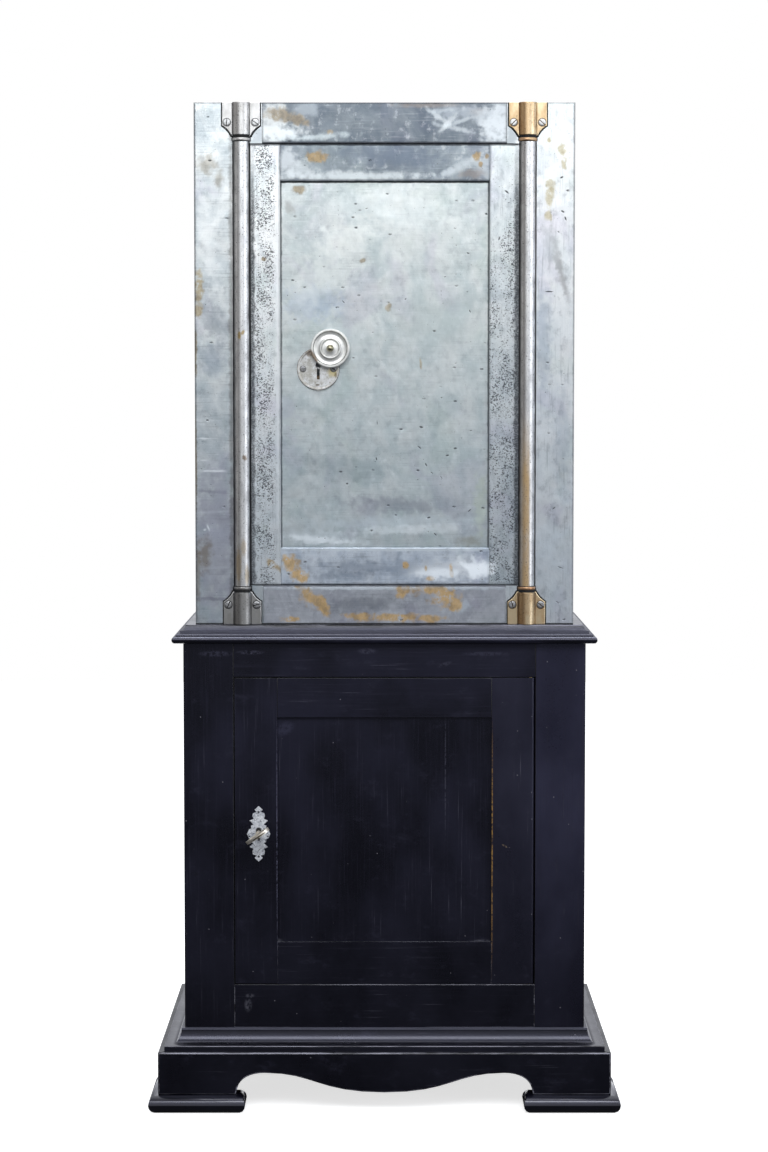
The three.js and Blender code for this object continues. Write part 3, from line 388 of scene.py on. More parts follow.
def stands_for(piece, node):
    """The piece moves with a CAD node's body and is shown in its place."""
    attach(piece, body_of[node])
    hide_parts(node)


def smoothed(mesh, angle):
    """Shades a mesh smoothly between the edges that are sharper than an angle."""
    mesh.polygons.foreach_set("use_smooth", np.ones(len(mesh.polygons), bool))
    mesh.set_sharp_from_angle(angle=math.radians(angle))


def eased(name, work, node, materials, width, segments=2):
    """A piece that stands for a node, with its edges rounded and its large faces kept flat.

    The rounded faces take the second of the two materials.
    """
    mesh = bpy.data.meshes.new(name)
    work.to_mesh(mesh)
    work.free()
    for material in materials:
        mesh.materials.append(material)
    mesh.polygons.foreach_set("material_index", np.zeros(len(mesh.polygons), np.int32))
    smoothed(mesh, flat_angle)
    piece = placed(name, mesh)
    if width:
        rounding = piece.modifiers.new("eased_edges", "BEVEL")
        rounding.width = width * mm
        rounding.segments = segments
        rounding.limit_method = "ANGLE"
        rounding.angle_limit = math.radians(flat_angle)
        rounding.material = 1
    shading = piece.modifiers.new("even_shading", "WEIGHTED_NORMAL")
    shading.keep_sharp = True
    shading.weight = 100
    stands_for(piece, node)


def dressed(node, surface, edge=None, width=0.8, segments=2):
    """A copy of a CAD node with its triangles merged and its edges eased."""
    work = bmesh.new()
    work.from_mesh(frame["nodes"][node].data)
    bmesh.ops.remove_doubles(work, verts=work.verts, dist=0.02 * mm)
    bmesh.ops.dissolve_limit(
        work, angle_limit=math.radians(0.5), verts=work.verts, edges=work.edges
    )
    eased(node + "_finished", work, node, [surface, edge or surface], width, segments)


def board(name, node, low, high, material):
    """A plain board between two corners."""
    work = bmesh.new()
    bmesh.ops.create_cube(work, size=1.0)
    size = Vector(high) - Vector(low)
    for vertex in work.verts:
        along = Vector([(c + 0.5) * s for c, s in zip(vertex.co, size)])
        vertex.co = (Vector(low) + along) * mm
    eased(name, work, node, [material, material], 0.3, 1)


def grid_mesh(name, points, material, closed=False):
    """A mesh over a grid of points; closed joins the last column to the first."""
    rows, columns = points.shape[:2]
    index = np.arange(rows * columns).reshape(rows, columns)
    if closed:
        index = np.concatenate([index, index[:, :1]], axis=1)
    quads = np.stack([index[:-1, :-1], index[:-1, 1:], index[1:, 1:], index[1:, :-1]], -1)
    mesh = bpy.data.meshes.new(name)
    corners = (points * mm).reshape(-1, 3).tolist()
    mesh.from_pydata(corners, [], quads.reshape(-1, 4).tolist())
    work = bmesh.new()
    work.from_mesh(mesh)
    bmesh.ops.remove_doubles(work, verts=work.verts, dist=0.001 * mm)
    bmesh.ops.recalc_face_normals(work, faces=work.faces)
    work.to_mesh(mesh)
    work.free()
    mesh.materials.append(material)
    smoothed(mesh, curved_angle)
    return placed(name, mesh)


def arc(x, z, radius_x, radius_z, start_angle, end_angle, steps):
    """Points on an ellipse between two angles in degrees."""
    angle = np.radians(np.linspace(start_angle, end_angle, steps))
    return list(zip(x + radius_x * np.cos(angle), z + radius_z * np.sin(angle)))


def mitred_run(name, node, profile, reach, material, wear_and_highlight):
    """A closed profile of (out, height) pairs carried along the left, front and right sides.

    At each pair the run goes from the back to the left front corner, across, and to the back
    again, out by the pair's own distance, so that the corners are mitred. wear_and_highlight
    gives other materials, for rubbed edges and for painted highlight and sheen, and the
    stretches of the profile that take them; reach is how far its outermost point stands out
    from the carcase.
    """
    low, high = box(node)
    out, rise = np.array(profile + profile[:1], float).T
    half = high.x - reach + out
    front = low.y + reach - out
    back = np.full(len(out), high.y)
    corners = [(-half, back), (-half, front), (half, front), (half, back)]
    lengths = len(corners) - 1
    points = np.stack([np.stack([x, y, low.z + rise], -1) for x, y in corners], 1)
    piece = grid_mesh(name, points, material)
    work = bmesh.new()
    work.from_mesh(piece.data)
    bmesh.ops.holes_fill(work, edges=[side for side in work.edges if side.is_boundary])
    bmesh.ops.recalc_face_normals(work, faces=work.faces)
    for slot, (other, stretches) in enumerate(wear_and_highlight, 1):
        piece.data.materials.append(other)
        for index, face in enumerate(work.faces):
            if index // lengths in stretches:
                face.material_index = slot
    work.to_mesh(piece.data)
    work.free()
    smoothed(piece.data, curved_angle)
    stands_for(piece, node)


def base_moulding():
    """A fillet with a cove above it, and a plain rail behind."""
    low, high = box("base_moulding")
    height = high.z - low.z
    fillet_out, fillet_height, round_off = 29, 8, 0.9
    cove_foot, cove_head, inner, rail_depth = 17.7, 4.6, -31, 60
    corner = arc(fillet_out - round_off, fillet_height - round_off, round_off, round_off, 0, 90, 5)
    cove = arc(cove_foot, height, cove_foot - cove_head, height - fillet_height, 270, 180, 14)
    profile = [(inner, 0), (fillet_out, 0)] + corner + cove + [(inner, height)]
    cove_top = len(profile) - 3
    # The fillet's rounded corner takes the rubbed edge, and the top of the cove a pale tone of dust and
    # painted sheen.
    mitred_run(
        "base_moulding_run", "base_moulding", profile, fillet_out, wood_waxed,
        [(edge_pale, range(2, 6)), (edge_dust_and_sheen, (cove_top, cove_top + 1))],
    )
    inner_x = high.x - fillet_out + inner
    board(
        "base_moulding_rear_rail", "base_moulding", (-inner_x, high.y - rail_depth, low.z),
        (inner_x, high.y, high.z), wood_across,
    )


def cupboard_top():
    """A round nose, a step and a hollow round the top board."""
    low, high = box("cupboard_top")
    height = high.z - low.z
    nose_out, nose_radius, inner = 16.3, 5.5, -46
    step_out, step_foot, set_back = 4.5, 18.5, 3.5
    nose = arc(nose_out - nose_radius, nose_radius, nose_radius, nose_radius, -90, 90, 16)
    step = [(10.5, 13.6), (10.0, 14.1), (5.1, 14.9), (step_out, 15.5)]
    hollow = arc(step_out, height, step_out + set_back, height - step_foot, 270, 180, 8)
    profile = [(inner, 0)] + nose + step + hollow + [(inner, height)]
    nose_crest, nose_top, ledge = (12,), (17, 18), range(20, 27)
    hollow_top = (27,)
    # The crest of the nose takes a painted highlight, and the top of the nose and the ledge a pale tone
    # of dust and painted sheen.
    mitred_run(
        "cupboard_top_run", "cupboard_top", profile, nose_out, wood_waxed,
        [(edge_painted_highlight, nose_crest), (edge_pale, hollow_top), (edge_dust_and_sheen, (*nose_top, *ledge))],
    )
    inner_x = high.x - nose_out + inner
    board(
        "cupboard_top_board", "cupboard_top", (-inner_x, low.y + nose_out - inner, low.z),
        (inner_x, high.y, high.z), wood_across,
    )


for corner in ("front_left", "front_right", "rear_left", "rear_right"):
    dressed("foot_pad_" + corner, wood_pads, edge_worn, width=0)
dressed("plinth_front", wood_across, edge_pale, width=1.8)
for side in ("left", "right"):
    dressed("plinth_" + side, wood_deep, edge_worn, width=1)
base_moulding()
for side in ("left", "right"):
    dressed("cupboard_side_" + side, wood_upright, edge_worn)
dressed("face_stile_left", ebonised_wood("left_stile", "z", [
    (-285, 353, 5, 3, 0, "#020203", 0.9), (-252, 684, 22, 4, 0, "#343442", 0.7),
]), edge_worn)
# The right face stile is lighter as a painted sheen.
wood_painted_sheen = ebonised_wood("right_stile_painted_sheen", "z", tones=("#181826", "#262637"))
dressed("face_stile_right", wood_painted_sheen, edge_worn)
dressed("face_rail_top", ebonised_wood("scuffed_rail", "x", [
    (-200, 686, 18, 3, 0, "#3E3E4C", 0.7), (-26, 688, 12, 4, 0, "#3A3A48", 0.7),
    (90, 668, 10, 3, 20, "#343440", 0.6), (150, 684, 30, 3, 0, "#30303E", 0.7),
]), edge_worn)
dressed("face_rail_bottom", ebonised_wood("knocked_rail", "x", [
    (-205, 154, 5, 9, 0, "#5C5C66", 0.45), (-202, 168, 6, 3, 0, "#5A5A64", 0.45),
]), edge_pale)
cupboard_top()


# Cupboard door
# A frame of stained wood round a flat panel in a groove. Its edges are rubbed most along
# the sunk panel and at the bottom gap.
dressed("cupboard_door_stile_left", ebonised_wood("key_stile", "z", [
    (-160.5, 410, 1.2, 155, 0, "#5C5C70", 0.75),
]), edge_worn)
# The right door stile's lighter tones are a painted sheen.
dressed("cupboard_door_stile_right", ebonised_wood("right_stile", "z", [
    (161.2, 392, 1.0, 150, 0, "#94713A", 0.9), (180, 395, 1.2, 4, 60, "#8A7A62", 0.7),
], tones=("#14141F", "#20202D")), edge_worn)
dressed("cupboard_door_rail_top", wood_across, edge_worn)
dressed("cupboard_door_rail_bottom", wood_across, edge_pale)
dressed("cupboard_door_panel", ebonised_wood("panel", "z", [
    (91.2, 500, 0.9, 85, 0, "#34343E", 0.9), (-150, 571, 15, 9, 25, "#2C2C3C", 0.7),
    (-165, 250, 10, 4, 0, "#5A5A62", 0.7), (-166, 262, 3, 14, 0, "#4A4A52", 0.6),
    (146, 249, 14, 3, 0, "#5A5A62", 0.6), (0, 247, 160, 1.4, 0, "#6E6E78", 0.9),
]), edge_worn, width=0)


# Plain boards inside
# Floor, back and rear plinth are of unstained softwood that nobody sees from the front.
def plain_softwood(name):
    """Planed boards that lie across, one above another, with a shrunk joint between them."""
    board_width, first_joint = 190, 10
    material, where = start(name)
    rings = noise(where, (200, 12, 12), warp=0.6)
    grain = noise(where, (60, 1.4, 1.4), detail=4.0, roughness=0.6)
    grime = noise(where, (160, 160, 100), detail=4.0, roughness=0.6)
    up = split(where)[2]
    joint = add("Math", [up - first_joint, board_width / 2], operation="PINGPONG")
    gap = ease(joint, 1.2, 0.4)
    colour = layered(
        "#6B543E", ("#846A4E", ease(rings, 0.35, 0.65)), ("#4B3D30", ease(grime, 0.45, 0.7) * 0.5),
        ("#1E1712", gap), ("#4E3C2B", ease(grain, 0.5, 0.75) * 0.45),
    )
    relief = bump(gap, -0.8, 0.8, bump(grain, 0.2, 0.5))
    return finish(material, colour, ease(grain, 0.2, 0.8, 0.65, 0.8), relief)


def paint(node, material):
    """Gives a CAD node that keeps its own mesh its finished material."""
    for slot in frame["nodes"][node].material_slots:
        slot.material = material


softwood = plain_softwood("planed_softwood")
for node in ("plinth_back", "cupboard_floor", "cupboard_back"):
    paint(node, softwood)


# Safe plates
# Shell, front frame and door bars are wrought plates, burnished by hand to a cloudy
# bluish grey, with rust pits, a few ochre stains and old scratches. Their colour is darker
# towards the foot as painted shade, their edges carry dark bands of dirt and painted
# shadow, and pale lines along the top edges of the lower rails are painted highlights.
safe_foot = 720
safe_head = 1500


def filtered(colour, tone):
    """The colour as it looks through a tinted film."""
    return add("Mix", {0: 1.0, 6: colour, 7: tone}, 2, data_type="RGBA", blend_type="MULTIPLY")


def faded(colour, where, fade):
    """Painted shade: darker towards the foot of the safe, times fade there and unchanged at its head.
    """
    depth = ease(split(where)[2], safe_foot, safe_head, fade, 1.0)
    return filtered(colour, layered("#000000", ("#FFFFFF", depth)))


def burnished_steel(
    name, pale, dark, rim, along="z", soiled=(0, 0, 0, 0), stains=(), patches=(), dashes=(),
    bands=(), strips=(), blooms=(), freckles=0.0, fade=0.8, cloudy=0.3, streaky=0.3,
    nicked=0.25, dullness=0.38, ochres=("#B3986A", "#8B7A5C"),
):
    """Hand-burnished plate.

    All marks begin with x, z, half width, half height and turn. Stains are ochre, patches go
    on with their tone and amount, dashes are short black cuts, and blooms, with an amount,
    are whitish places scoured with grit. Bands are (x, half width, strength, height) of
    upright strips full of rust pits up to a height, and strips are (x, half width) of
    upright black lines. Rim is (x from, x to, z from, z to) of the face, and
    soiled tells how dark its left, right, lower and upper edges are, with dirt
    and with painted shadow from the parts beside them. Cloudy and streaky tell how strongly
    the small clouds and the rubbing marks show, nicked is the share of places with a small
    nick, and dullness is the least roughness. Towards the foot the plate is darkened by
    fade, as painted shade, and turns bluer.
    """
    material, where = start(name)
    east, _, up = split(where)
    brush = noise(where, streaks(along, 2.2, 45), roughness=0.6)
    cloud = noise(where, (45, 45, 60), detail=5.0, roughness=0.6, warp=0.5)
    mottle = noise(where, (11, 11, 14), detail=5.0, roughness=0.65)
    fleck = noise(where, (2.2, 2.2, 1.7), roughness=0.65)
    hue = noise(where, (70, 70, 90), warp=0.8)
    uneven = noise(where, (20, 20, 40))
    ragged = (noise(where, 10, detail=5.0) - 0.5) * 2.6
    colour = layered(
        pale, (dark, ease(cloud, 0.33, 0.66)),
        ("#717B84", ease(mottle, 0.5, 0.7) * cloudy), ("#F6F9FA", ease(mottle, 0.46, 0.28) * cloudy),
        ("#F1F5F6", ease(brush, 0.55, 0.75) * streaky), ("#626B75", ease(brush, 0.44, 0.26) * streaky),
    )
    colour = layered(colour, (filtered(colour, "#E9F3E7"), ease(hue, 0.54, 0.7) * 0.22))
    colour = layered(colour, (filtered(colour, "#E9E2F0"), ease(hue, 0.46, 0.32) * 0.4))
    colour = marked(colour, where, ragged, patches, edge=0.7)
    stained = most([0.0] + [spot(where, ragged, *oval) for oval in stains])
    rust = most([ease(mottle, 0.7, 0.78) * freckles, ease(mottle, 0.3, 0.44) * stained])
    ochre = layered(ochres[0], (ochres[1], ease(mottle, 0.4, 0.65)))
    bloom = most([0.0] + [spot(where, ragged, *oval, edge=0.6) * amount for *oval, amount in blooms])
    crowd = most([0.0] + [
        ease(abs(east - middle), half, half * 0.4) * strength
        * ease(up, height + 60, height - 60, 0.2, 1.0)
        for middle, half, strength, height in bands
    ]) * ease(uneven, 0.3, 0.58, 0.35, 1.0)
    level = 0.695 - crowd * 0.19
    nicks = most([
        pits(where, 15, nicked, radius=0.15, stretch=(1.6, 1.0, 0.9)),
        pits(where, 7, nicked, radius=0.14) * ease(uneven, 0.48, 0.6),
    ])
    marks = [ease(fleck, level, level + 0.035), nicks * ease(fleck, 0.4, 0.5, 0.25, 1.0)]
    marks += [spot(where, ragged * 0.9, *dash, edge=0.3) for dash in dashes]
    for middle, half in strips:
        frayed = abs(east - middle) - ragged * 3
        crumbled = ease(fleck, 0.36, 0.56, 0.6, 1.0) * ease(up, 1440, 1320, 0.2, 1.0)
        marks.append(ease(frayed, half * 1.4, half * 0.5) * crumbled)
    # Dark bands along the edges: dirt, and painted shadow from the parts beside them.
    left, right, bottom, top = rim
    for reach, amount in zip((east - left, right - east, up - bottom, top - up), soiled):
        if amount:
            marks.append(ease(reach + ragged * 0.9, 3.4, 1.2) * amount)
    pitting = most(marks)
    colour = layered(colour, (ochre, rust * 0.85), ("#F3F6F7", bloom), ("#23262F", pitting * 0.88))
    bluish = layered("#FFFFFF", ("#DFEAF7", ease(up, 1350, 750, 0.0, 0.5)))
    colour = filtered(faded(colour, where, fade), bluish)
    rough = ease(cloud, 0.3, 0.7, dullness, dullness + 0.08) + pitting * 0.25
    relief = bump(noise(where, (30, 30, 45)), 1.6, 0.5)
    relief = bump(pitting, -0.3, 0.6, bump(brush, 0.06, 0.6, relief))
    bare = 1.0 - most([rust * 0.6, pitting * 0.6, bloom * 0.9])
    return finish(material, colour, rough, relief, metallic=bare)


def grime_and_shade_line(name, dark, pale):
    """Black grime for joints, slots, grooves and the edges of plates and beds, standing also for the
    shade there as painted shade.
    """
    material, where = start(name)
    crumbs = noise(where, 4, detail=4.0)
    colour = layered(dark, (pale, ease(crumbs, 0.4, 0.7)))
    return finish(material, colour, 0.6, bump(crumbs, 0.2, 0.6), metallic=0.3)


def plate(node, name, pale, dark, edge=None, width=0.8, rim=None, **look):
    """Dresses a plate in steel; its rim is its own outline unless another is given."""
    low, high = box(node)
    rim = rim or (low.x, high.x, low.z, high.z)
    dressed(node, burnished_steel(name, pale, dark, rim, **look), edge, width)


# Both are grime and painted shade: the edge one on plate edges beside gaps, in screw slots and on pins,
# the black one in joints, grooves and beds.
grime_and_shade_edge = grime_and_shade_line("steel_edge_grime_and_shade", "#1D2026", "#4A4D55")
black_grime_and_shade = grime_and_shade_line("black_grime_and_painted_shade", "#050506", "#121316")
plate(
    "safe_shell", "wrought_plate_shell", "#A7AEB3", "#98A0A7", width=1.5, cloudy=0.18,
    streaky=0.4, freckles=0.3, dullness=0.58,
)
plate(
    "frame_stile_left", "wrought_plate_left_stile", "#E4E8E8", "#BCC5C9", grime_and_shade_edge, along="x",
    freckles=0.2, fade=0.8, nicked=0.4, ochres=("#B9AA88", "#8F7F64"), soiled=(0.75, 0, 0.3, 0.35),
    stains=[(-276, 1225, 7, 22, 0), (-278, 1195, 6, 12, 20), (-281, 1130, 2.5, 30, 0)],
    patches=[
        (-263, 1410, 12, 12, 0, "#9C9484", 0.6), (-246, 1390, 6, 10, 0, "#8E8779", 0.6),
        (-255, 1180, 14, 30, 30, "#7F8794", 0.5), (-258, 1120, 18, 20, 0, "#9AA6B4", 0.5),
        (-250, 900, 18, 40, 10, "#99A3AE", 0.4), (-262, 1300, 12, 60, 8, "#F4F7F7", 0.5),
        (-190, 1455, 8, 20, 0, "#B4BCC0", 0.8), (-250, 850, 34, 90, 0, "#BCBAC8", 0.6),
        (-267, 832, 9, 22, 0, "#96876F", 0.6), (-279, 800, 4, 40, 0, "#9A8A72", 0.5),
        (-281.3, 965, 1.8, 60, 0, "#A58F62", 0.8), (-256, 925, 24, 2.2, -3, "#9A99A8", 0.4),
        (-250, 895, 28, 1.8, 3, "#DADDE4", 0.5), (-246, 812, 20, 2, 4, "#DDE0E6", 0.5),
        # The long grey band at x -227, beside the column, is the column's painted shadow together with
        # old dirt.
        (-255, 765, 26, 2.5, -2, "#908E9C", 0.5), (-227, 1120, 3.4, 440, 0, "#77736F", 0.6),
    ],
    blooms=[
        (-268, 868, 3, 2, 30, 0.8), (-266, 1004, 12, 1.5, 0, 0.7), (-270, 972, 8, 1.2, 0, 0.6),
        (-257, 956, 14, 1.4, 0, 0.7), (-263, 872, 1.6, 5, 20, 0.8),
    ],
)
plate(
    "frame_stile_right", "wrought_plate_right_stile", "#EAECED", "#D5DBDE", grime_and_shade_edge, freckles=0.1,
    fade=0.87, nicked=0.5, ochres=("#CFC8AC", "#B3A780"), soiled=(0, 0.6, 0.3, 0.35),
    stains=[
        (245, 1368, 6, 20, 0), (243, 1334, 5, 6, 0), (263, 1431, 6, 8, 0), (266, 1411, 4, 8, 0),
        (243, 1444, 3, 4, 0),
    ],
    patches=[
        (262, 1250, 5, 45, 14, "#97989A", 0.7), (188, 1458, 10, 30, 0, "#A7AFB4", 0.9),
        (247, 1290, 10, 30, 10, "#B5BABD", 0.5), (236, 1150, 10, 70, 0, "#9AA7B8", 0.5),
        (265, 1000, 12, 60, 0, "#A6B2BE", 0.4), (250, 830, 20, 30, 20, "#E4EAEE", 0.4),
    ],
    dashes=[
        (244, 1222, 5.5, 0.8, 0), (262, 812, 4, 0.8, -20), (258, 760, 3, 0.8, -35),
        (252, 900, 3, 0.8, 40), (262, 1390, 2, 1, 30), (268, 1330, 1.2, 3, 20), (264, 1340, 1, 2.2, 60),
        (258, 1310, 1.8, 1, -40),
    ],
)
plate(
    "frame_rail_top", "wrought_plate_top_rail", "#7F878D", "#636C76", grime_and_shade_edge, width=0.5, along="x",
    fade=0.9, streaky=0.12, cloudy=0.25, ochres=("#A29680", "#857A69"), soiled=(0.25, 0.25, 0.9, 0.5),
    stains=[(-150, 1482, 26, 8, -8), (-128, 1476, 14, 7, -20), (-81, 1457, 5, 4, 0)],
    patches=[
        (-168, 1474, 20, 34, 0, "#D6DADA", 0.85), (-150, 1456, 30, 10, 0, "#DCE2E4", 0.8),
        (-100, 1450, 44, 4, 4, "#C3CDD0", 0.7), (-115, 1490, 20, 12, 20, "#A9B1B8", 0.6),
        (60, 1496, 45, 3, 0, "#8C8076", 0.5), (80, 1479, 20, 3.5, -34, "#D9DFE2", 0.5),
        (94, 1470, 20, 3.5, 46, "#DCE2E5", 0.5), (100, 1463, 26, 3.5, -12, "#D5DCE0", 0.45),
        (116, 1474, 26, 3, 20, "#D0D8DC", 0.45), (85, 1488, 18, 3, 8, "#C6CED4", 0.4),
        (138, 1480, 20, 12, 0, "#A3A9AE", 0.6), (140, 1486, 12, 5, 10, "#7D746E", 0.6),
        (167, 1470, 22, 34, 0, "#CDD3D7", 0.9), (118, 1484, 40, 10, 0, "#A9B0B7", 0.5),
    ],
)
plate(
    "frame_rail_bottom", "wrought_plate_low_rail", "#C9CACE", "#A5A6AD", along="x", freckles=0.35,
    fade=1.0, streaky=0.2, ochres=("#C9A263", "#A08150"), soiled=(0.2, 0.2, 0.5, 0.7),
    stains=[
        (-110, 766, 24, 9, -42), (-94, 756, 14, 8, -60), (27, 774, 10, 10, 0), (68, 778, 24, 7, 0),
        (90, 766, 18, 13, 20), (105, 758, 9, 11, 0), (20, 737, 34, 6, 0), (62, 735, 26, 5, 0),
        (-35, 738, 22, 6, 0), (-140, 734, 12, 4, 0),
    ],
    patches=[
        # The two pale lines along the top edge at z 781 are painted highlights.
        (-60, 781, 110, 2.2, 0, "#E9EEF1", 0.8), (100, 781, 80, 2.2, 0, "#E1E7EB", 0.7),
        (118, 752, 10, 6, 40, "#D5DCE1", 0.7), (-30, 758, 60, 10, 6, "#74787F", 0.5),
    ],
)
# A black strip along the foot of the safe lies on the wood as grime in the joint and as its painted
# shadow.
low = box("frame_stile_left")[0]
high = box("frame_stile_right")[1]
seam_height = 1.6
seam_proud = 0.8
board(
    "safe_foot_grime_and_shadow_seam", "frame_rail_bottom", (low.x, low.y - seam_proud, low.z),
    (high.x, low.y + seam_proud, low.z + seam_height), black_grime_and_shade,
)


# Safe door plates
# A sunk panel inside four flat bars. The bars are pitted beside the columns, and the
# panel is smoother and a little greener than the rest.
bar_dashes = [
    (181, 1369, 4.2, 1.2, -38), (195, 1338, 3.4, 1.1, -50), (170, 1300, 3, 0.9, 70),
    (176, 880, 3, 0.9, -30),
]
plate(
    "door_stile_left", "wrought_bar_left_stile", "#F6F8F8", "#DEE4E6", width=0.6, fade=0.84,
    soiled=(0, 0.35, 0.5, 0.7), dashes=bar_dashes,
    bands=[(-178, 22, 1.0, 1500)],
    strips=[(-196.6, 4.2)],
    stains=[(-179, 1270, 4, 3, 0), (-165, 815, 14, 5, -40)],
    patches=[(-158.5, 1100, 2.2, 330, 0, "#F2F5F6", 0.6)],
)
plate(
    "door_stile_right", "wrought_bar_right_stile", "#DEE3E4", "#C2CACE", width=0.6, fade=0.85,
    soiled=(0.35, 0, 0.5, 0.7), dashes=bar_dashes,
    bands=[(184, 19, 0.9, 1340), (164, 16, 0.85, 1280)],
    strips=[(197.2, 4.2)],
    blooms=[(156, 811, 10, 9, 0, 1.0)],
)
plate(
    "door_rail_top", "wrought_bar_door_top", "#969FA4", "#747D86", width=0.6, along="x", fade=0.9,
    streaky=0.15, cloudy=0.25, soiled=(0.2, 0.2, 0.6, 0.8),
    stains=[(-98, 1420, 14, 8, 0), (137, 1422, 6, 6, 0), (151, 1422, 3, 4, 0), (143, 1410, 3, 3, 0)],
    patches=[
        (-50, 1392, 90, 6, 0, "#D3DADC", 0.75), (-143, 1415, 14, 24, 0, "#C9CFD3", 0.75),
        (-122, 1400, 20, 12, 0, "#CDD4D7", 0.6), (110, 1405, 40, 6, 25, "#CFD7DB", 0.6),
        (150, 1410, 10, 24, 0, "#BFC7CC", 0.6), (130, 1396, 16, 6, 0, "#8B837E", 0.6),
        (30, 1420, 60, 14, 0, "#6A7584", 0.6), (-40, 1425, 50, 10, 0, "#727C88", 0.5),
    ],
)
plate(
    "door_rail_bottom", "wrought_bar_door_foot", "#E6EBF0", "#BAC3CE", along="x", fade=1.0,
    ochres=("#D3A965", "#A98851"), soiled=(0.2, 0.2, 0.7, 0),
    stains=[
        (-139, 817, 15, 10, -50), (-128, 800, 13, 9, -30), (32, 815, 4, 5, 0), (100, 806, 2.5, 10, 8),
        (67, 796, 6, 4, 0), (62, 810, 2, 4, 0),
    ],
    patches=[
        (70, 808, 36, 10, 0, "#F4F7F8", 0.9), (118, 812, 30, 12, -10, "#F2F5F7", 0.9),
        (-20, 812, 80, 10, 0, "#7F8998", 0.5), (-60, 800, 50, 6, 4, "#76808F", 0.4),
        # The pale line along the top edge at z 838.5 is a painted highlight.
        (0, 838.5, 150, 2.2, 0, "#E7ECEF", 0.8),
    ],
    blooms=[(138, 811, 24, 12, -6, 1.0), (84, 803, 30, 8, 0, 0.7)],
)
panel_rim = (
    box("door_stile_left")[1].x, box("door_stile_right")[0].x,
    box("door_rail_bottom")[1].z, box("door_rail_top")[0].z,
)
panel_nicks = [
    (-26, 1345, 2.3, 0.5, 15), (-61, 1207, 2.4, 0.6, -45), (31, 1211, 1.5, 0.8, 30),
    (90, 1244, 1.6, 0.6, 10), (124, 1279, 1.9, 0.7, -20), (127, 1193, 1.9, 0.6, -60),
    (106, 1116, 2.3, 0.6, 15), (85, 1065, 1.4, 0.7, 0), (-11, 1028, 0.6, 3.4, 4),
    (55, 1021, 2.7, 1.4, -10), (52, 991, 2.7, 0.8, -40), (62, 965, 2.4, 1, -60),
    (71, 953, 2.5, 0.7, -35), (85, 946, 2.7, 0.7, -50), (94, 979, 2.3, 1, 10),
    (129, 1016, 2.1, 0.6, 10), (-56, 937, 1.9, 1.4, 0), (-12, 974, 0.8, 2.1, 10), (66, 886, 2.3, 1, 20),
    (127, 897, 2.7, 0.6, 40), (76, 861, 2.3, 0.7, -50), (17, 890, 1.5, 0.8, 0),
]
plate(
    "door_plate", "wrought_plate_door_panel", "#D5DAD9", "#B7C1C2", width=0.5, along="x", fade=1.0,
    freckles=0.12, cloudy=0.24, streaky=0.2, nicked=0.6, ochres=("#B3A78E", "#8F8674"), rim=panel_rim,
    soiled=(0.9, 0.9, 0.35, 1.0), dashes=panel_nicks,
    stains=[(-32, 1268, 4, 3, 20), (5, 1199, 4, 5, 0), (54, 1113, 1.6, 8, 6), (-126, 1372, 8, 5, 0)],
    patches=[
        (-126, 1373, 8, 5, 0, "#87847E", 0.7), (-140, 1345, 6, 10, 20, "#9A9B99", 0.6),
        (-105, 1205, 35, 22, 0, "#9DADC6", 0.5), (20, 1340, 90, 30, 0, "#EAEFEE", 0.35),
        (-60, 1300, 50, 20, 25, "#E8EAE6", 0.4), (-100, 1240, 20, 50, -30, "#DDE2E0", 0.5),
        (80, 1180, 50, 30, 10, "#B7C1C0", 0.5), (10, 880, 120, 8, 2, "#D5DDE0", 0.6),
        (-105, 858, 50, 9, -4, "#D9E0E2", 0.7), (-60, 960, 60, 16, -6, "#8E9B9F", 0.4),
        (20, 905, 70, 10, -3, "#8C8F9C", 0.5), (130, 850, 16, 8, 0, "#A09E92", 0.6),
        (144, 905, 9, 36, 0, "#CBD4C0", 0.5),
    ],
    blooms=[(-95, 853, 48, 5, -4, 0.5), (35, 868, 75, 6, 2, 0.35)],
)


# Columns
# Two round bars with a pin at each end; the right one turns with the door.
def revolved(name, node, profile, x, y, turns, material, z=None):
    """Surface of revolution of (radius, reach) pairs that stands for a node.

    At angle a a point of the profile lies at x + radius cos a, y + radius sin a, reach. If z
    is given the axis points forward, and it is x + radius cos a, y - reach, z + radius sin a.
    """
    radius, reach = np.array(profile, float).T[..., None]
    angle = np.linspace(0, 2 * np.pi, turns, endpoint=False)
    across = x + radius * np.cos(angle)
    aside = radius * np.sin(angle)
    reach = np.broadcast_to(reach, across.shape)
    axes = (across, y + aside, reach) if z is None else (across, y - reach, z + aside)
    stands_for(grid_mesh(name, np.stack(axes, -1), material, closed=True), node)


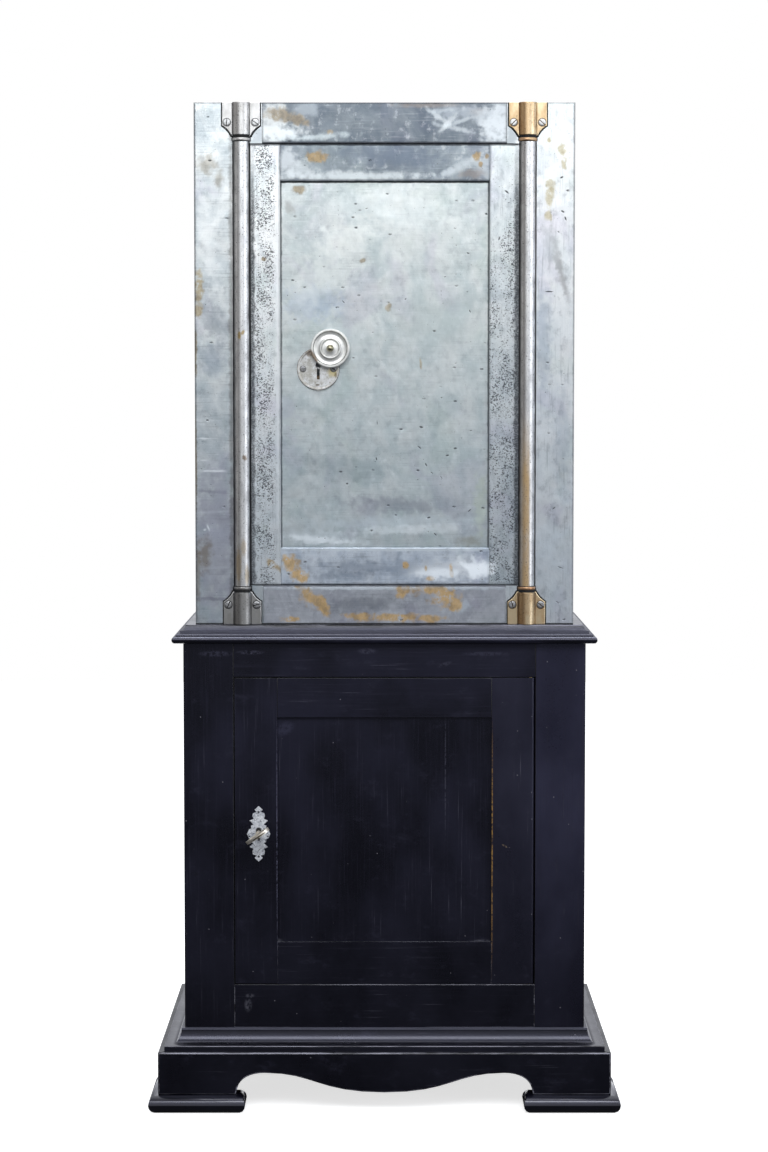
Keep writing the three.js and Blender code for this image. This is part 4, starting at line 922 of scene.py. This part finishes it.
def round_bar(
    name, axis_x, axis_y, radius, pale, dark, corner, fade, browning, speck="#2A2C31",
    shade="#6C625A", brown="#C0A070", stains=(),
):
    """A turned bar that stands upright at (axis_x, axis_y).

    Its colour darkens towards the back, beside the plates, in the corner tone: old dirt and
    painted shade in the corners. browning tells how strongly the shade tone darkens
    its left side, as painted shade together with patina, up to which height its front is
    browned as well, and how strongly. Stains are marks on the front whose x is counted from
    the axis.
    """
    material, where = start(name)
    east, deep, up = split(where)
    draw = noise(where, (2, 2, 50), roughness=0.6)
    cloud = noise(where, (12, 12, 30), detail=5.0, roughness=0.65)
    fleck = noise(where, (1.8, 1.8, 2.2), roughness=0.65)
    left_shade, browned_to, front = browning
    off_axis = east - axis_x
    browned = ease(up, browned_to, browned_to - 120) * front
    browned = ease(off_axis, radius * 0.5, radius * 0.1) * browned
    browned = browned * ease(off_axis, -radius * 0.8, -radius * 0.25, 0.25, 1.0)
    browned = browned * ease(cloud, 0.25, 0.55, 0.7, 1.0)
    behind = deep - (axis_y - radius) + (cloud - 0.5) * (radius * 0.5)
    # The corner tone towards the back and the shade tone over the left side are painted shade, with
    # dirt and patina.
    colour = layered(
        pale, (dark, ease(cloud, 0.35, 0.7)), ("#F4F6F6", ease(draw, 0.55, 0.8) * 0.4),
        (shade, ease(off_axis, radius * 0.1, -radius * 0.5) * left_shade), (brown, browned),
        (corner, ease(behind, radius * 0.2, radius * 0.8) * 0.9),
    )
    stains = [(axis_x + off, *rest) for off, *rest in stains]
    colour = marked(colour, where, (fleck - 0.5) * 2.0, stains)
    specks = most([pits(where, 6, 0.35, radius=0.2), ease(fleck, 0.6, 0.66)])
    return finish(
        material, faded(layered(colour, (speck, specks * 0.7)), where, fade),
        ease(cloud, 0.3, 0.7, 0.40, 0.50), bump(draw, 0.05, 0.5), metallic=1.0 - browned * 0.5,
    )


column_radius = 12
column_ease = 0.8
pin_radius = 8
pin_length = 19


def column(node, name, **look):
    """A bar between two thinner pins, all on one axis."""
    low, high = box(node)
    foot, head = low.z + pin_length, high.z - pin_length
    profile = [
        (0, low.z), (pin_radius, low.z), (pin_radius, foot), (column_radius - column_ease, foot),
        (column_radius, foot + column_ease), (column_radius, head - column_ease),
        (column_radius - column_ease, head), (pin_radius, head), (pin_radius, high.z), (0, high.z),
    ]
    x, y, _ = (low + high) / 2
    material = round_bar(name, x, y, column_radius, **look)
    revolved(node + "_bar", node, profile, x, y, 96, material)


column(
    "column_left", "filed_bar_left", pale="#EAEBEC", dark="#C4C5C7", corner="#4C4A4C", fade=0.8,
    browning=(0.5, 0, 0), stains=[
        (-3, 1157, 2.4, 6, 0, "#A98F55", 0.85), (2, 1161, 2, 4, -30, "#A98F55", 0.8),
        (4, 976, 3, 4, 30, "#84705A", 0.8), (2, 842, 4, 12, 0, "#B29A70", 0.5),
        (-5, 815, 4, 24, 0, "#A38C66", 0.6), (7, 800, 3, 14, 0, "#B9A684", 0.6),
    ],
)
column(
    "column_right", "filed_bar_right", pale="#E9EAEB", dark="#C6C7C9", corner="#3F3B3B", fade=0.85,
    browning=(0.6, 1060, 0.9),
)


# Brackets
# Each column stands in two brackets: a flat flange with hollowed shoulders, and a barrel
# that ends in a groove and a bead. The left pair is steel and the right pair brass.
def flat_metal(name, pale, dark, fade, screws=(), speck="#3A3226", rough=0.4):
    """A filed flat face; a dark ring round each screw head (x, z, radius) is old dirt and the painted
    shadow of the head.
    """
    material, where = start(name)
    cloud = noise(where, (12, 12, 20), detail=4.0)
    fine = noise(where, (3, 3, 6), detail=4.0, roughness=0.6)
    marks = [pits(where, 5, 0.15, radius=0.2)]
    marks += [spot(where, 0.0, x, z, radius, radius, edge=0.06) for x, z, radius in screws]
    colour = layered(pale, (dark, ease(cloud, 0.35, 0.7)), (speck, most(marks) * 0.85))
    return finish(
        material, faded(colour, where, fade), ease(cloud, 0.3, 0.7, rough, rough + 0.1),
        bump(fine, 0.1, 0.5), metallic=1.0,
    )


def slab(name, node, points, back_y, front_y, materials, width):
    """A plate of even thickness from an outline of (x, z) points, with eased edges."""
    work = bmesh.new()
    face = work.faces.new([work.verts.new(Vector((x, back_y, z)) * mm) for x, z in points])
    grown = bmesh.ops.extrude_face_region(work, geom=[face])
    front = [v for v in grown["geom"] if isinstance(v, bmesh.types.BMVert)]
    bmesh.ops.translate(work, verts=front, vec=(0, (front_y - back_y) * mm, 0))
    bmesh.ops.recalc_face_normals(work, faces=work.faces)
    eased(name, work, node, materials, width)


def hollow_between(first, second, depth, steps):
    """Points on a shallow hollow from one (x, z) to another, deepest in the middle."""
    (x0, z0), (x1, z1) = first, second
    share = np.linspace(0, 1, steps)
    sink = 4 * depth * share * (1 - share) / math.hypot(x1 - x0, z1 - z0)
    x = x0 + (x1 - x0) * share - (z1 - z0) * sink
    z = z0 + (z1 - z0) * share + (x1 - x0) * sink
    return list(zip(x, z))


safe_front_y = box("frame_rail_top")[0].y
bracket_plate = 3
bracket_straight = 34
bracket_shoulder = 49
bracket_hollow = 1.6
barrel_radius = 14
barrel_length = 48
barrel_ease = 0.8
neck_radius = 12.6
bead_start = 52
bead_half = 2.3
bead_radius = 13.4
bead_bulge = 0.8
bead_bore = 8.3
bead_end = bead_start + 2 * bead_half
line_inner = 12.1
line_end = bead_end + 0.8
grime_and_shadow_reach = 1.7
grime_and_shadow_depth = 0.3


def bracket(node, face, face_edge, barrel_metal, bead_metal):
    """The flange keeps its CAD outline; x, depth and the outer end come from the node's box.

    A thin dark bed round the flange is old polish and dirt in the corner, and the painted
    shadow of the flange on the plate.
    """
    low, high = box(node)
    middle = (low.x + high.x) / 2
    half = (high.x - low.x) / 2
    end, inward = (high.z, -1) if "top" in node else (low.z, 1)

    def outline(grow):
        right = [(half + grow, 0)] + hollow_between(
            (half + grow, bracket_straight + grow / 2),
            (barrel_radius + grow, bracket_shoulder + grow), bracket_hollow, 9,
        )
        both = right + [(-x, z) for x, z in reversed(right)]
        return [(middle + x, end + inward * z) for x, z in both]

    slab(
        node + "_flange", node, outline(0), safe_front_y, safe_front_y - bracket_plate,
        [face, face_edge], 0.8,
    )
    slab(
        node + "_grime_and_shadow", node, outline(grime_and_shadow_reach), safe_front_y, safe_front_y - grime_and_shadow_depth,
        [black_grime_and_shade, black_grime_and_shade], 0.1,
    )
    # The groove and the line under the bead are black, as painted shade.
    groove = [
        (0, barrel_length), (neck_radius, barrel_length), (neck_radius, bead_start), (0, bead_start),
    ]
    bead_shadow_line = [
        (line_inner, bead_end), (bead_radius - 0.6, bead_end), (bead_radius - 0.9, line_end),
        (line_inner, line_end), (line_inner, bead_end),
    ]
    barrel = [
        (0, 0), (barrel_radius - barrel_ease, 0), (barrel_radius, barrel_ease),
        (barrel_radius, barrel_length - barrel_ease), (barrel_radius - barrel_ease, barrel_length),
        (0, barrel_length),
    ]
    crown = arc(bead_radius - bead_bulge, bead_start + bead_half, bead_bulge, bead_half, -90, 90, 9)
    bead = [(bead_bore, bead_start)] + crown + [(bead_bore, bead_end), (bead_bore, bead_start)]
    for part, profile, metal in (
        ("groove", groove, black_grime_and_shade), ("bead_shadow_line", bead_shadow_line, black_grime_and_shade),
        ("barrel", barrel, barrel_metal), ("bead", bead, bead_metal),
    ):
        profile = [(radius, end + inward * reach) for radius, reach in profile]
        revolved(f"{node}_{part}", node, profile, middle, safe_front_y, 72, metal)


screw_dirt_and_shadow_ring = 0.9
edge_highlight_lift = 0.35
bracket_metals = {
    "left": {"pale": "#D6D6D5", "dark": "#C0BFBD", "fade": 0.5, "speck": "#2B2A2C"},
    "right": {"pale": "#E6D2AE", "dark": "#CDB08A", "fade": 0.76, "speck": "#4A3620"},
}
# Corner and shade are tones of painted shade with dirt and patina, towards the plates and over the left
# side.
barrel_looks = {
    "left": {"corner": "#4A4748", "shade": "#6B625C", "browning": (0.5, 0, 0)},
    "right": {"corner": "#66452A", "shade": "#8F6638", "browning": (0.7, 0, 0)},
}
bead_tones = {"left": "#BDBAB8", "right": "#CF9F7C"}
for height in ("top", "bottom"):
    for side, metal in bracket_metals.items():
        node = f"bracket_{height}_{side}"
        low, high = box(node)
        screws = []
        for hand in ("left", "right"):
            head_low, head_high = box(f"{node}_screw_{hand}")
            x, _, z = (head_low + head_high) / 2
            screws.append((x, z, (head_high.x - head_low.x) / 2 + screw_dirt_and_shadow_ring))
        face = flat_metal(f"{node}_filed_face", screws=screws, **metal)
        barrel = round_bar(
            f"{node}_turned_barrel", (low.x + high.x) / 2, safe_front_y, barrel_radius, **metal,
            **barrel_looks[side],
        )
        bead = flat_metal(f"{node}_turned_bead", **{**metal, "pale": bead_tones[side]})
        # The flange's eased edges take a lighter copy of the face: rubbed metal with a painted
        # highlight.
        highlighted = {"dark": metal["pale"], "fade": min(1.0, metal["fade"] + edge_highlight_lift)}
        face_edge = flat_metal(f"{node}_rubbed_and_highlighted_edge", rough=0.3, **{**metal, **highlighted})
        bracket(node, face, face_edge, barrel, bead)


# Screws
# Slotted steel screws with low round heads, two to a bracket and two in the escutcheon.
def screw_steel(name, pale, dark):
    """Turned steel, a little duller in places."""
    material, where = start(name)
    fine = noise(where, 1.5)
    colour = layered(pale, (dark, ease(fine, 0.4, 0.7)))
    rough = ease(fine, 0.3, 0.7, 0.42, 0.55)
    return finish(material, colour, rough, bump(fine, 0.04, 0.4), metallic=1.0)


def slotted_head(name, node, x, face_y, z, radius, rise, slot_angle, material):
    """A low dome with a slot across it.

    Chords of a disc run along the slot at distances s = radius sin(a); the dome's height is
    rise (1 - (r / radius)^6), and between the slot's walls it drops by slot_depth.
    """
    slot_half = 0.65
    slot_depth = min(0.8, rise)
    side = radius * np.sin(np.radians(np.linspace(-90, 90, 25)))
    before, after = side[side < -slot_half], side[side > slot_half]
    slot = [-slot_half, -slot_half, slot_half, slot_half]
    across = np.concatenate([before, slot, after])[:, None]
    in_slot = np.zeros((len(across), 1), bool)
    in_slot[len(before) + 1:len(before) + 3] = True
    chord = np.sqrt(np.maximum(radius ** 2 - across ** 2, 0))
    along = chord * np.linspace(-1, 1, 25)
    across = np.broadcast_to(across, along.shape)
    reach = np.hypot(across, along) / radius
    height = rise * (1 - np.minimum(reach, 1) ** 6)
    height = np.where(in_slot, np.minimum(height, rise - slot_depth), height)
    cosine = math.cos(math.radians(slot_angle))
    sine = math.sin(math.radians(slot_angle))
    axes = (x + along * cosine - across * sine, face_y - height, z + along * sine + across * cosine)
    piece = grid_mesh(name, np.stack(axes, -1), material)
    # The slot's faces take the dark edge material: grime and painted shade in the slot.
    piece.data.materials.append(grime_and_shade_edge)
    for face in piece.data.polygons:
        centre = face.center / mm
        aside = (centre.z - z) * cosine - (centre.x - x) * sine
        face.material_index = int(abs(aside) < slot_half * 1.05)
    stands_for(piece, node)


# A lighter and a darker copy of one steel: the upper screws and the lock pin take the lighter, the
# lower and the escutcheon screws the darker, as painted light and shade.
screw_painted_lit = screw_steel("turned_steel_screw_wiped", "#D2D4D5", "#B2B3B3")
screw_painted_shaded = screw_steel("turned_steel_screw_dull", "#A5A6A8", "#7C7C7E")
screw_slots = {
    "bracket_top_left": (86, 145), "bracket_bottom_left": (65, 15),
    "bracket_top_right": (45, 140), "bracket_bottom_right": (105, 138),
}
bracket_screw_rise = 0.8
for holder, slots in screw_slots.items():
    for side, slot_angle in zip(("left", "right"), slots):
        node = f"{holder}_screw_{side}"
        low, high = box(node)
        x, _, z = (low + high) / 2
        slotted_head(
            node + "_head", node, x, safe_front_y - bracket_plate, z, (high.x - low.x) / 2,
            bracket_screw_rise, slot_angle, screw_painted_lit if "top" in node else screw_painted_shaded,
        )


# Keyhole escutcheon and its cover
# A round white-metal plate with a raised rim, speckled with yellow tarnish, and a turned
# disc with a ball that swings over the keyhole on a stud.
def tarnished_nickel(name, pale, dark, speck, crusts=(), screws=()):
    """White metal with fine speckled tarnish.

    Crusts are marks of deposits left by polish and damp; on the key one of them is a dark
    line that paints the shade inside the bow. Screws are (x, z, radius) of dark rings round
    screw heads: dirt, and the painted shadow of the heads.
    """
    material, where = start(name)
    cloud = noise(where, 12, detail=5.0, roughness=0.6)
    fine = noise(where, 2.2, detail=4.0, roughness=0.7)
    colour = layered(
        pale, (dark, ease(cloud, 0.35, 0.65)), ("#8F897C", ease(fine, 0.52, 0.66) * speck)
    )
    colour = marked(colour, where, (fine - 0.5) * 2.0, crusts)
    marks = [pits(where, 2.5, 0.3) * speck]
    marks += [spot(where, 0.0, x, z, radius, radius, edge=0.08) for x, z, radius in screws]
    colour = layered(colour, ("#45423C", most(marks) * 0.9))
    rough = ease(cloud, 0.3, 0.7, 0.36, 0.5)
    return finish(material, colour, rough, bump(fine, 0.1, 0.6), metallic=0.85)


plate_low, plate_high = box("door_escutcheon")
plate_radius = (plate_high.x - plate_low.x) / 2
plate_thickness = 3
point_length = 2
centre_x = (plate_low.x + plate_high.x) / 2
centre_z = plate_low.z + point_length + plate_radius
plate_screw_out = 22.8
plate_screw_radius = 4.2
plate_screw_rise = 0.5
plate_screw_dirt_and_shadow_ring = 0.8
plate_rings = [
    (centre_x + hand * plate_screw_out, centre_z, plate_screw_radius + plate_screw_dirt_and_shadow_ring)
    for hand in (-1, 1)
]
plate_crusts = [
    (21, -4, 6, 7, 0, "#C2B47E", 0.8), (26, -9, 2, 4, 0, "#7A6A38", 0.8),
    (-10, 24, 9, 5, 0, "#6F5B45", 0.8), (-1, -23.5, 3, 1.5, 0, "#5A4A34", 0.8),
]
escutcheon_nickel = tarnished_nickel(
    "tarnished_nickel_plate", "#DFE1E3", "#B5B4AE", 0.65,
    [(centre_x + x, centre_z + z, *rest) for x, z, *rest in plate_crusts], plate_rings,
)
rim_nickel = tarnished_nickel("tarnished_nickel_rim", "#F0EADF", "#D8CDBC", 0.2)
dressed("door_escutcheon", escutcheon_nickel, rim_nickel, width=0.7)
for hand, (x, z, _), slot_angle in zip(("left", "right"), plate_rings, (5, 140)):
    slotted_head(
        f"door_escutcheon_screw_{hand}", "door_escutcheon", x, plate_high.y - plate_thickness, z,
        plate_screw_radius, plate_screw_rise, slot_angle, screw_painted_shaded,
    )
lock_pin = [(0, 0), (1.7, 0), (1.7, 2.9), (1.2, 3.3), (0, 3.3)]
lock_pin_above = 1.2
lock_pin_sunk = 0.3
revolved(
    "door_lock_pin", "door_escutcheon", lock_pin, centre_x, plate_high.y - lock_pin_sunk, 24,
    screw_painted_lit, z=centre_z + lock_pin_above,
)
# A brown ring round the escutcheon on the door plate: grime, and the painted shadow of the escutcheon's
# edge.
brown_grime_and_shadow = grime_and_shade_line("brown_grime_and_painted_shadow", "#4A3B2C", "#7A6650")
grime_and_shadow_bed = [(10, 0), (31.7, 0), (31.7, grime_and_shadow_depth), (10, grime_and_shadow_depth), (10, 0)]
revolved(
    "door_escutcheon_grime_and_shadow", "door_escutcheon", grime_and_shadow_bed, centre_x, plate_high.y, 96, brown_grime_and_shadow,
    z=centre_z,
)


def ringed_nickel(name, x, z, rings, painted_brown_shadow):
    """Turned white metal.

    Rings are (radius, half width, amount) of dark lines round the middle (x, z), and
    painted_brown_shadow is the oval of a brown painted shadow on the edge.
    """
    material, where = start(name)
    offset = add("VectorMath", [where, (x, 0.0, z)], operation="SUBTRACT")
    flat = add("VectorMath", [offset, (1.0, 0.0, 1.0)], operation="MULTIPLY")
    reach = add("VectorMath", [flat], "Value", operation="LENGTH")
    cloud = noise(where, 10, detail=4.0)
    ragged = noise(where, 3) - 0.5
    frayed = reach + ragged * 0.8
    lines = [
        ease(abs(frayed - radius), half, half * 0.3) * amount for radius, half, amount in rings
    ]
    colour = layered(
        "#F0F0EC", ("#D8D9D8", ease(cloud, 0.35, 0.7)), ("#4C4A44", most(lines)),
        ("#7C6142", spot(where, ragged, *painted_brown_shadow) * 0.8),
    )
    turning = noise(add("CombineXYZ", [reach]), (0.6, 1, 1), detail=2.0)
    rough = ease(cloud, 0.3, 0.7, 0.4, 0.5)
    return finish(material, colour, rough, bump(turning, 0.02, 0.5), metallic=0.8)


def keyhole_cover():
    """A disc with a rounded rim, a hollow band, a ring and a dish, and a ball on a neck."""
    low, high = box("keyhole_cover")
    x, _, z = (low + high) / 2
    radius = (high.x - low.x) / 2
    face = 8
    neck, neck_foot, ball = 3, face - 0.4, 5.5
    rounded = 1.2
    rim = arc(radius - rounded, face - rounded, rounded, rounded, 0, 90, 6)
    step = [(26.2, face), (24.9, face - 1.6)]
    band = [
        (r, face - 2.2 - 1.2 * math.sin(math.pi * (r - 15.7) / 8.8))
        for r in np.linspace(24.3, 15.9, 10)
    ]
    ring = arc(14.3, face - rounded, 1.4, rounded, 10, 170, 9)
    dish = [
        (r, face - 2.6 + 1.6 * (1 - (r - neck) / 9.6) ** 2) for r in np.linspace(12.4, neck, 9)
    ]
    disc = [(0, 0), (radius - 1, 0), (radius, 1)] + rim + step + band + ring + dish
    disc += [(neck, neck_foot), (0, neck_foot)]
    ball_reach = face + 1 + ball * math.sqrt(0.5)
    knob = [(0, face - 1), (neck, face - 1), (neck, face + 0.8)]
    knob += arc(0, ball_reach, ball, ball, -50, 90, 14)
    nickel = ringed_nickel(
        "turned_nickel_cover", x, z,
        [(24.8, 0.7, 0.75), (16, 0.6, 0.55), (12.4, 0.5, 0.45), (28.4, 0.5, 0.4)],
        # The brown oval at the lower left of the rim is a painted shadow.
        (x - 24.5, z - 12.5, 2.8, 11, 27),
    )
    browned = flat_metal("browned_nickel_ball", "#B9B59E", "#8D8870", 1.0, rough=0.22)
    for part, profile, turns, metal in (("disc", disc, 112, nickel), ("ball", knob, 48, browned)):
        revolved(
            "keyhole_cover_" + part, "keyhole_cover", profile, x, high.y, turns, metal,
            z=z,
        )


keyhole_cover()


# Cupboard escutcheon, key and lock
# A sawn and engraved white-metal plate, two pins, and a key with an oval bow.
def engraved_nickel(name, x, z):
    """Silvery plate with fine engraved scrolls, drawn as the level lines of a warped noise.

    A black spot over the upper part of its keyhole (x, z) is painted shade for the dark
    inside of the hole.
    """
    material, where = start(name)
    swirl = noise(where, 10, detail=1.0, warp=1.6)
    cut = ease(add("Math", [swirl * 7.0, 0.5], operation="PINGPONG"), 0.14, 0.04)
    cloud = noise(where, 8, detail=4.0)
    colour = layered(
        "#EEF1F6", ("#C6CAD2", ease(cloud, 0.35, 0.65)), ("#565A64", cut * 0.85),
        ("#121214", spot(where, 0.0, x, z, 4.2, 3.6, edge=0.15) * 0.95),
    )
    rough = ease(cloud, 0.3, 0.7, 0.35, 0.48)
    return finish(material, colour, rough, bump(cut, -0.2, 0.6), metallic=0.45)


joints = {joint["name"]: joint for joint in frame["record"]["behaviour"]["joints"]}
key_x, _, key_z = (value / mm for value in joints["cupboard_key_turn"]["pos_m"])
keyhole_above = 3.5
plate_nickel = engraved_nickel("engraved_nickel_plate", key_x, key_z + keyhole_above)
dressed("cupboard_escutcheon", plate_nickel, width=0.3)
key_nickel = tarnished_nickel("cast_nickel_key", "#E9E4DA", "#C9C0B0", 0.25, [
    # The dark line across the bow paints the shade of its opening.
    (key_x + 1, key_z, 13.5, 1, 34, "#2E2A22", 0.95),
])
dressed("cupboard_key", key_nickel, width=0.9, segments=3)
low, high = box("cupboard_escutcheon")
hollow_pin = [(0, 0), (1.5, 0), (1.5, 1)] + arc(0, 1.2, 1.5, -0.9, 0, 90, 6)
for end, z in (("top", high.z - 9.2), ("bottom", low.z + 8)):
    revolved(
        "cupboard_escutcheon_pin_" + end, "cupboard_escutcheon", hollow_pin,
        (low.x + high.x) / 2, low.y, 20, grime_and_shade_edge, z=z,
    )


# Iron inside the doors
# Lock cases, bolts and the back of the safe door are plain dark iron.
def forged_iron(name, pale, dark):
    """Dark iron with a cloudy skin and fine specks of rust."""
    material, where = start(name)
    cloud = noise(where, 30, detail=5.0, roughness=0.6)
    fine = noise(where, 2, detail=4.0)
    colour = layered(
        pale, (dark, ease(cloud, 0.35, 0.7)), ("#6B4E38", ease(fine, 0.6, 0.8) * 0.5)
    )
    rough = ease(cloud, 0.3, 0.7, 0.45, 0.6)
    return finish(material, colour, rough, bump(fine, 0.1, 0.5), metallic=0.9)


def rammed_filling(name):
    """The dry, crumbly filling between the shell and the lining."""
    material, where = start(name)
    grit = noise(where, 3, detail=5.0, roughness=0.7)
    colour = layered("#B9AD95", ("#93866C", ease(grit, 0.35, 0.7)))
    return finish(material, colour, 0.95, bump(grit, 0.6, 0.8))


dark_iron = forged_iron("forged_iron", "#55585B", "#434548")
bright_iron = forged_iron("filed_iron_bolts", "#9A9EA1", "#7C8083")
pin_brass = flat_metal("turned_brass_pins", "#D9C08A", "#B39A66", 0.9)
for node in ("door_back_case", "door_lock_case", "cupboard_lock_case", "cupboard_lock_bolt"):
    dressed(node, dark_iron, width=0.6)
dressed("safe_bolts", bright_iron, width=0.5)
for node in ("pivot_bottom", "pivot_top"):
    dressed(node, pin_brass, width=0.5)
paint("lining", forged_iron("sheet_iron_lining", "#8A8E8E", "#727678"))
paint("fire_filling", rammed_filling("rammed_sawdust_and_salt"))


# Size
# The box that everything shown fills, apart from the floor. The dressed object has to
# stay inside the box of the imported model.
low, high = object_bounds()
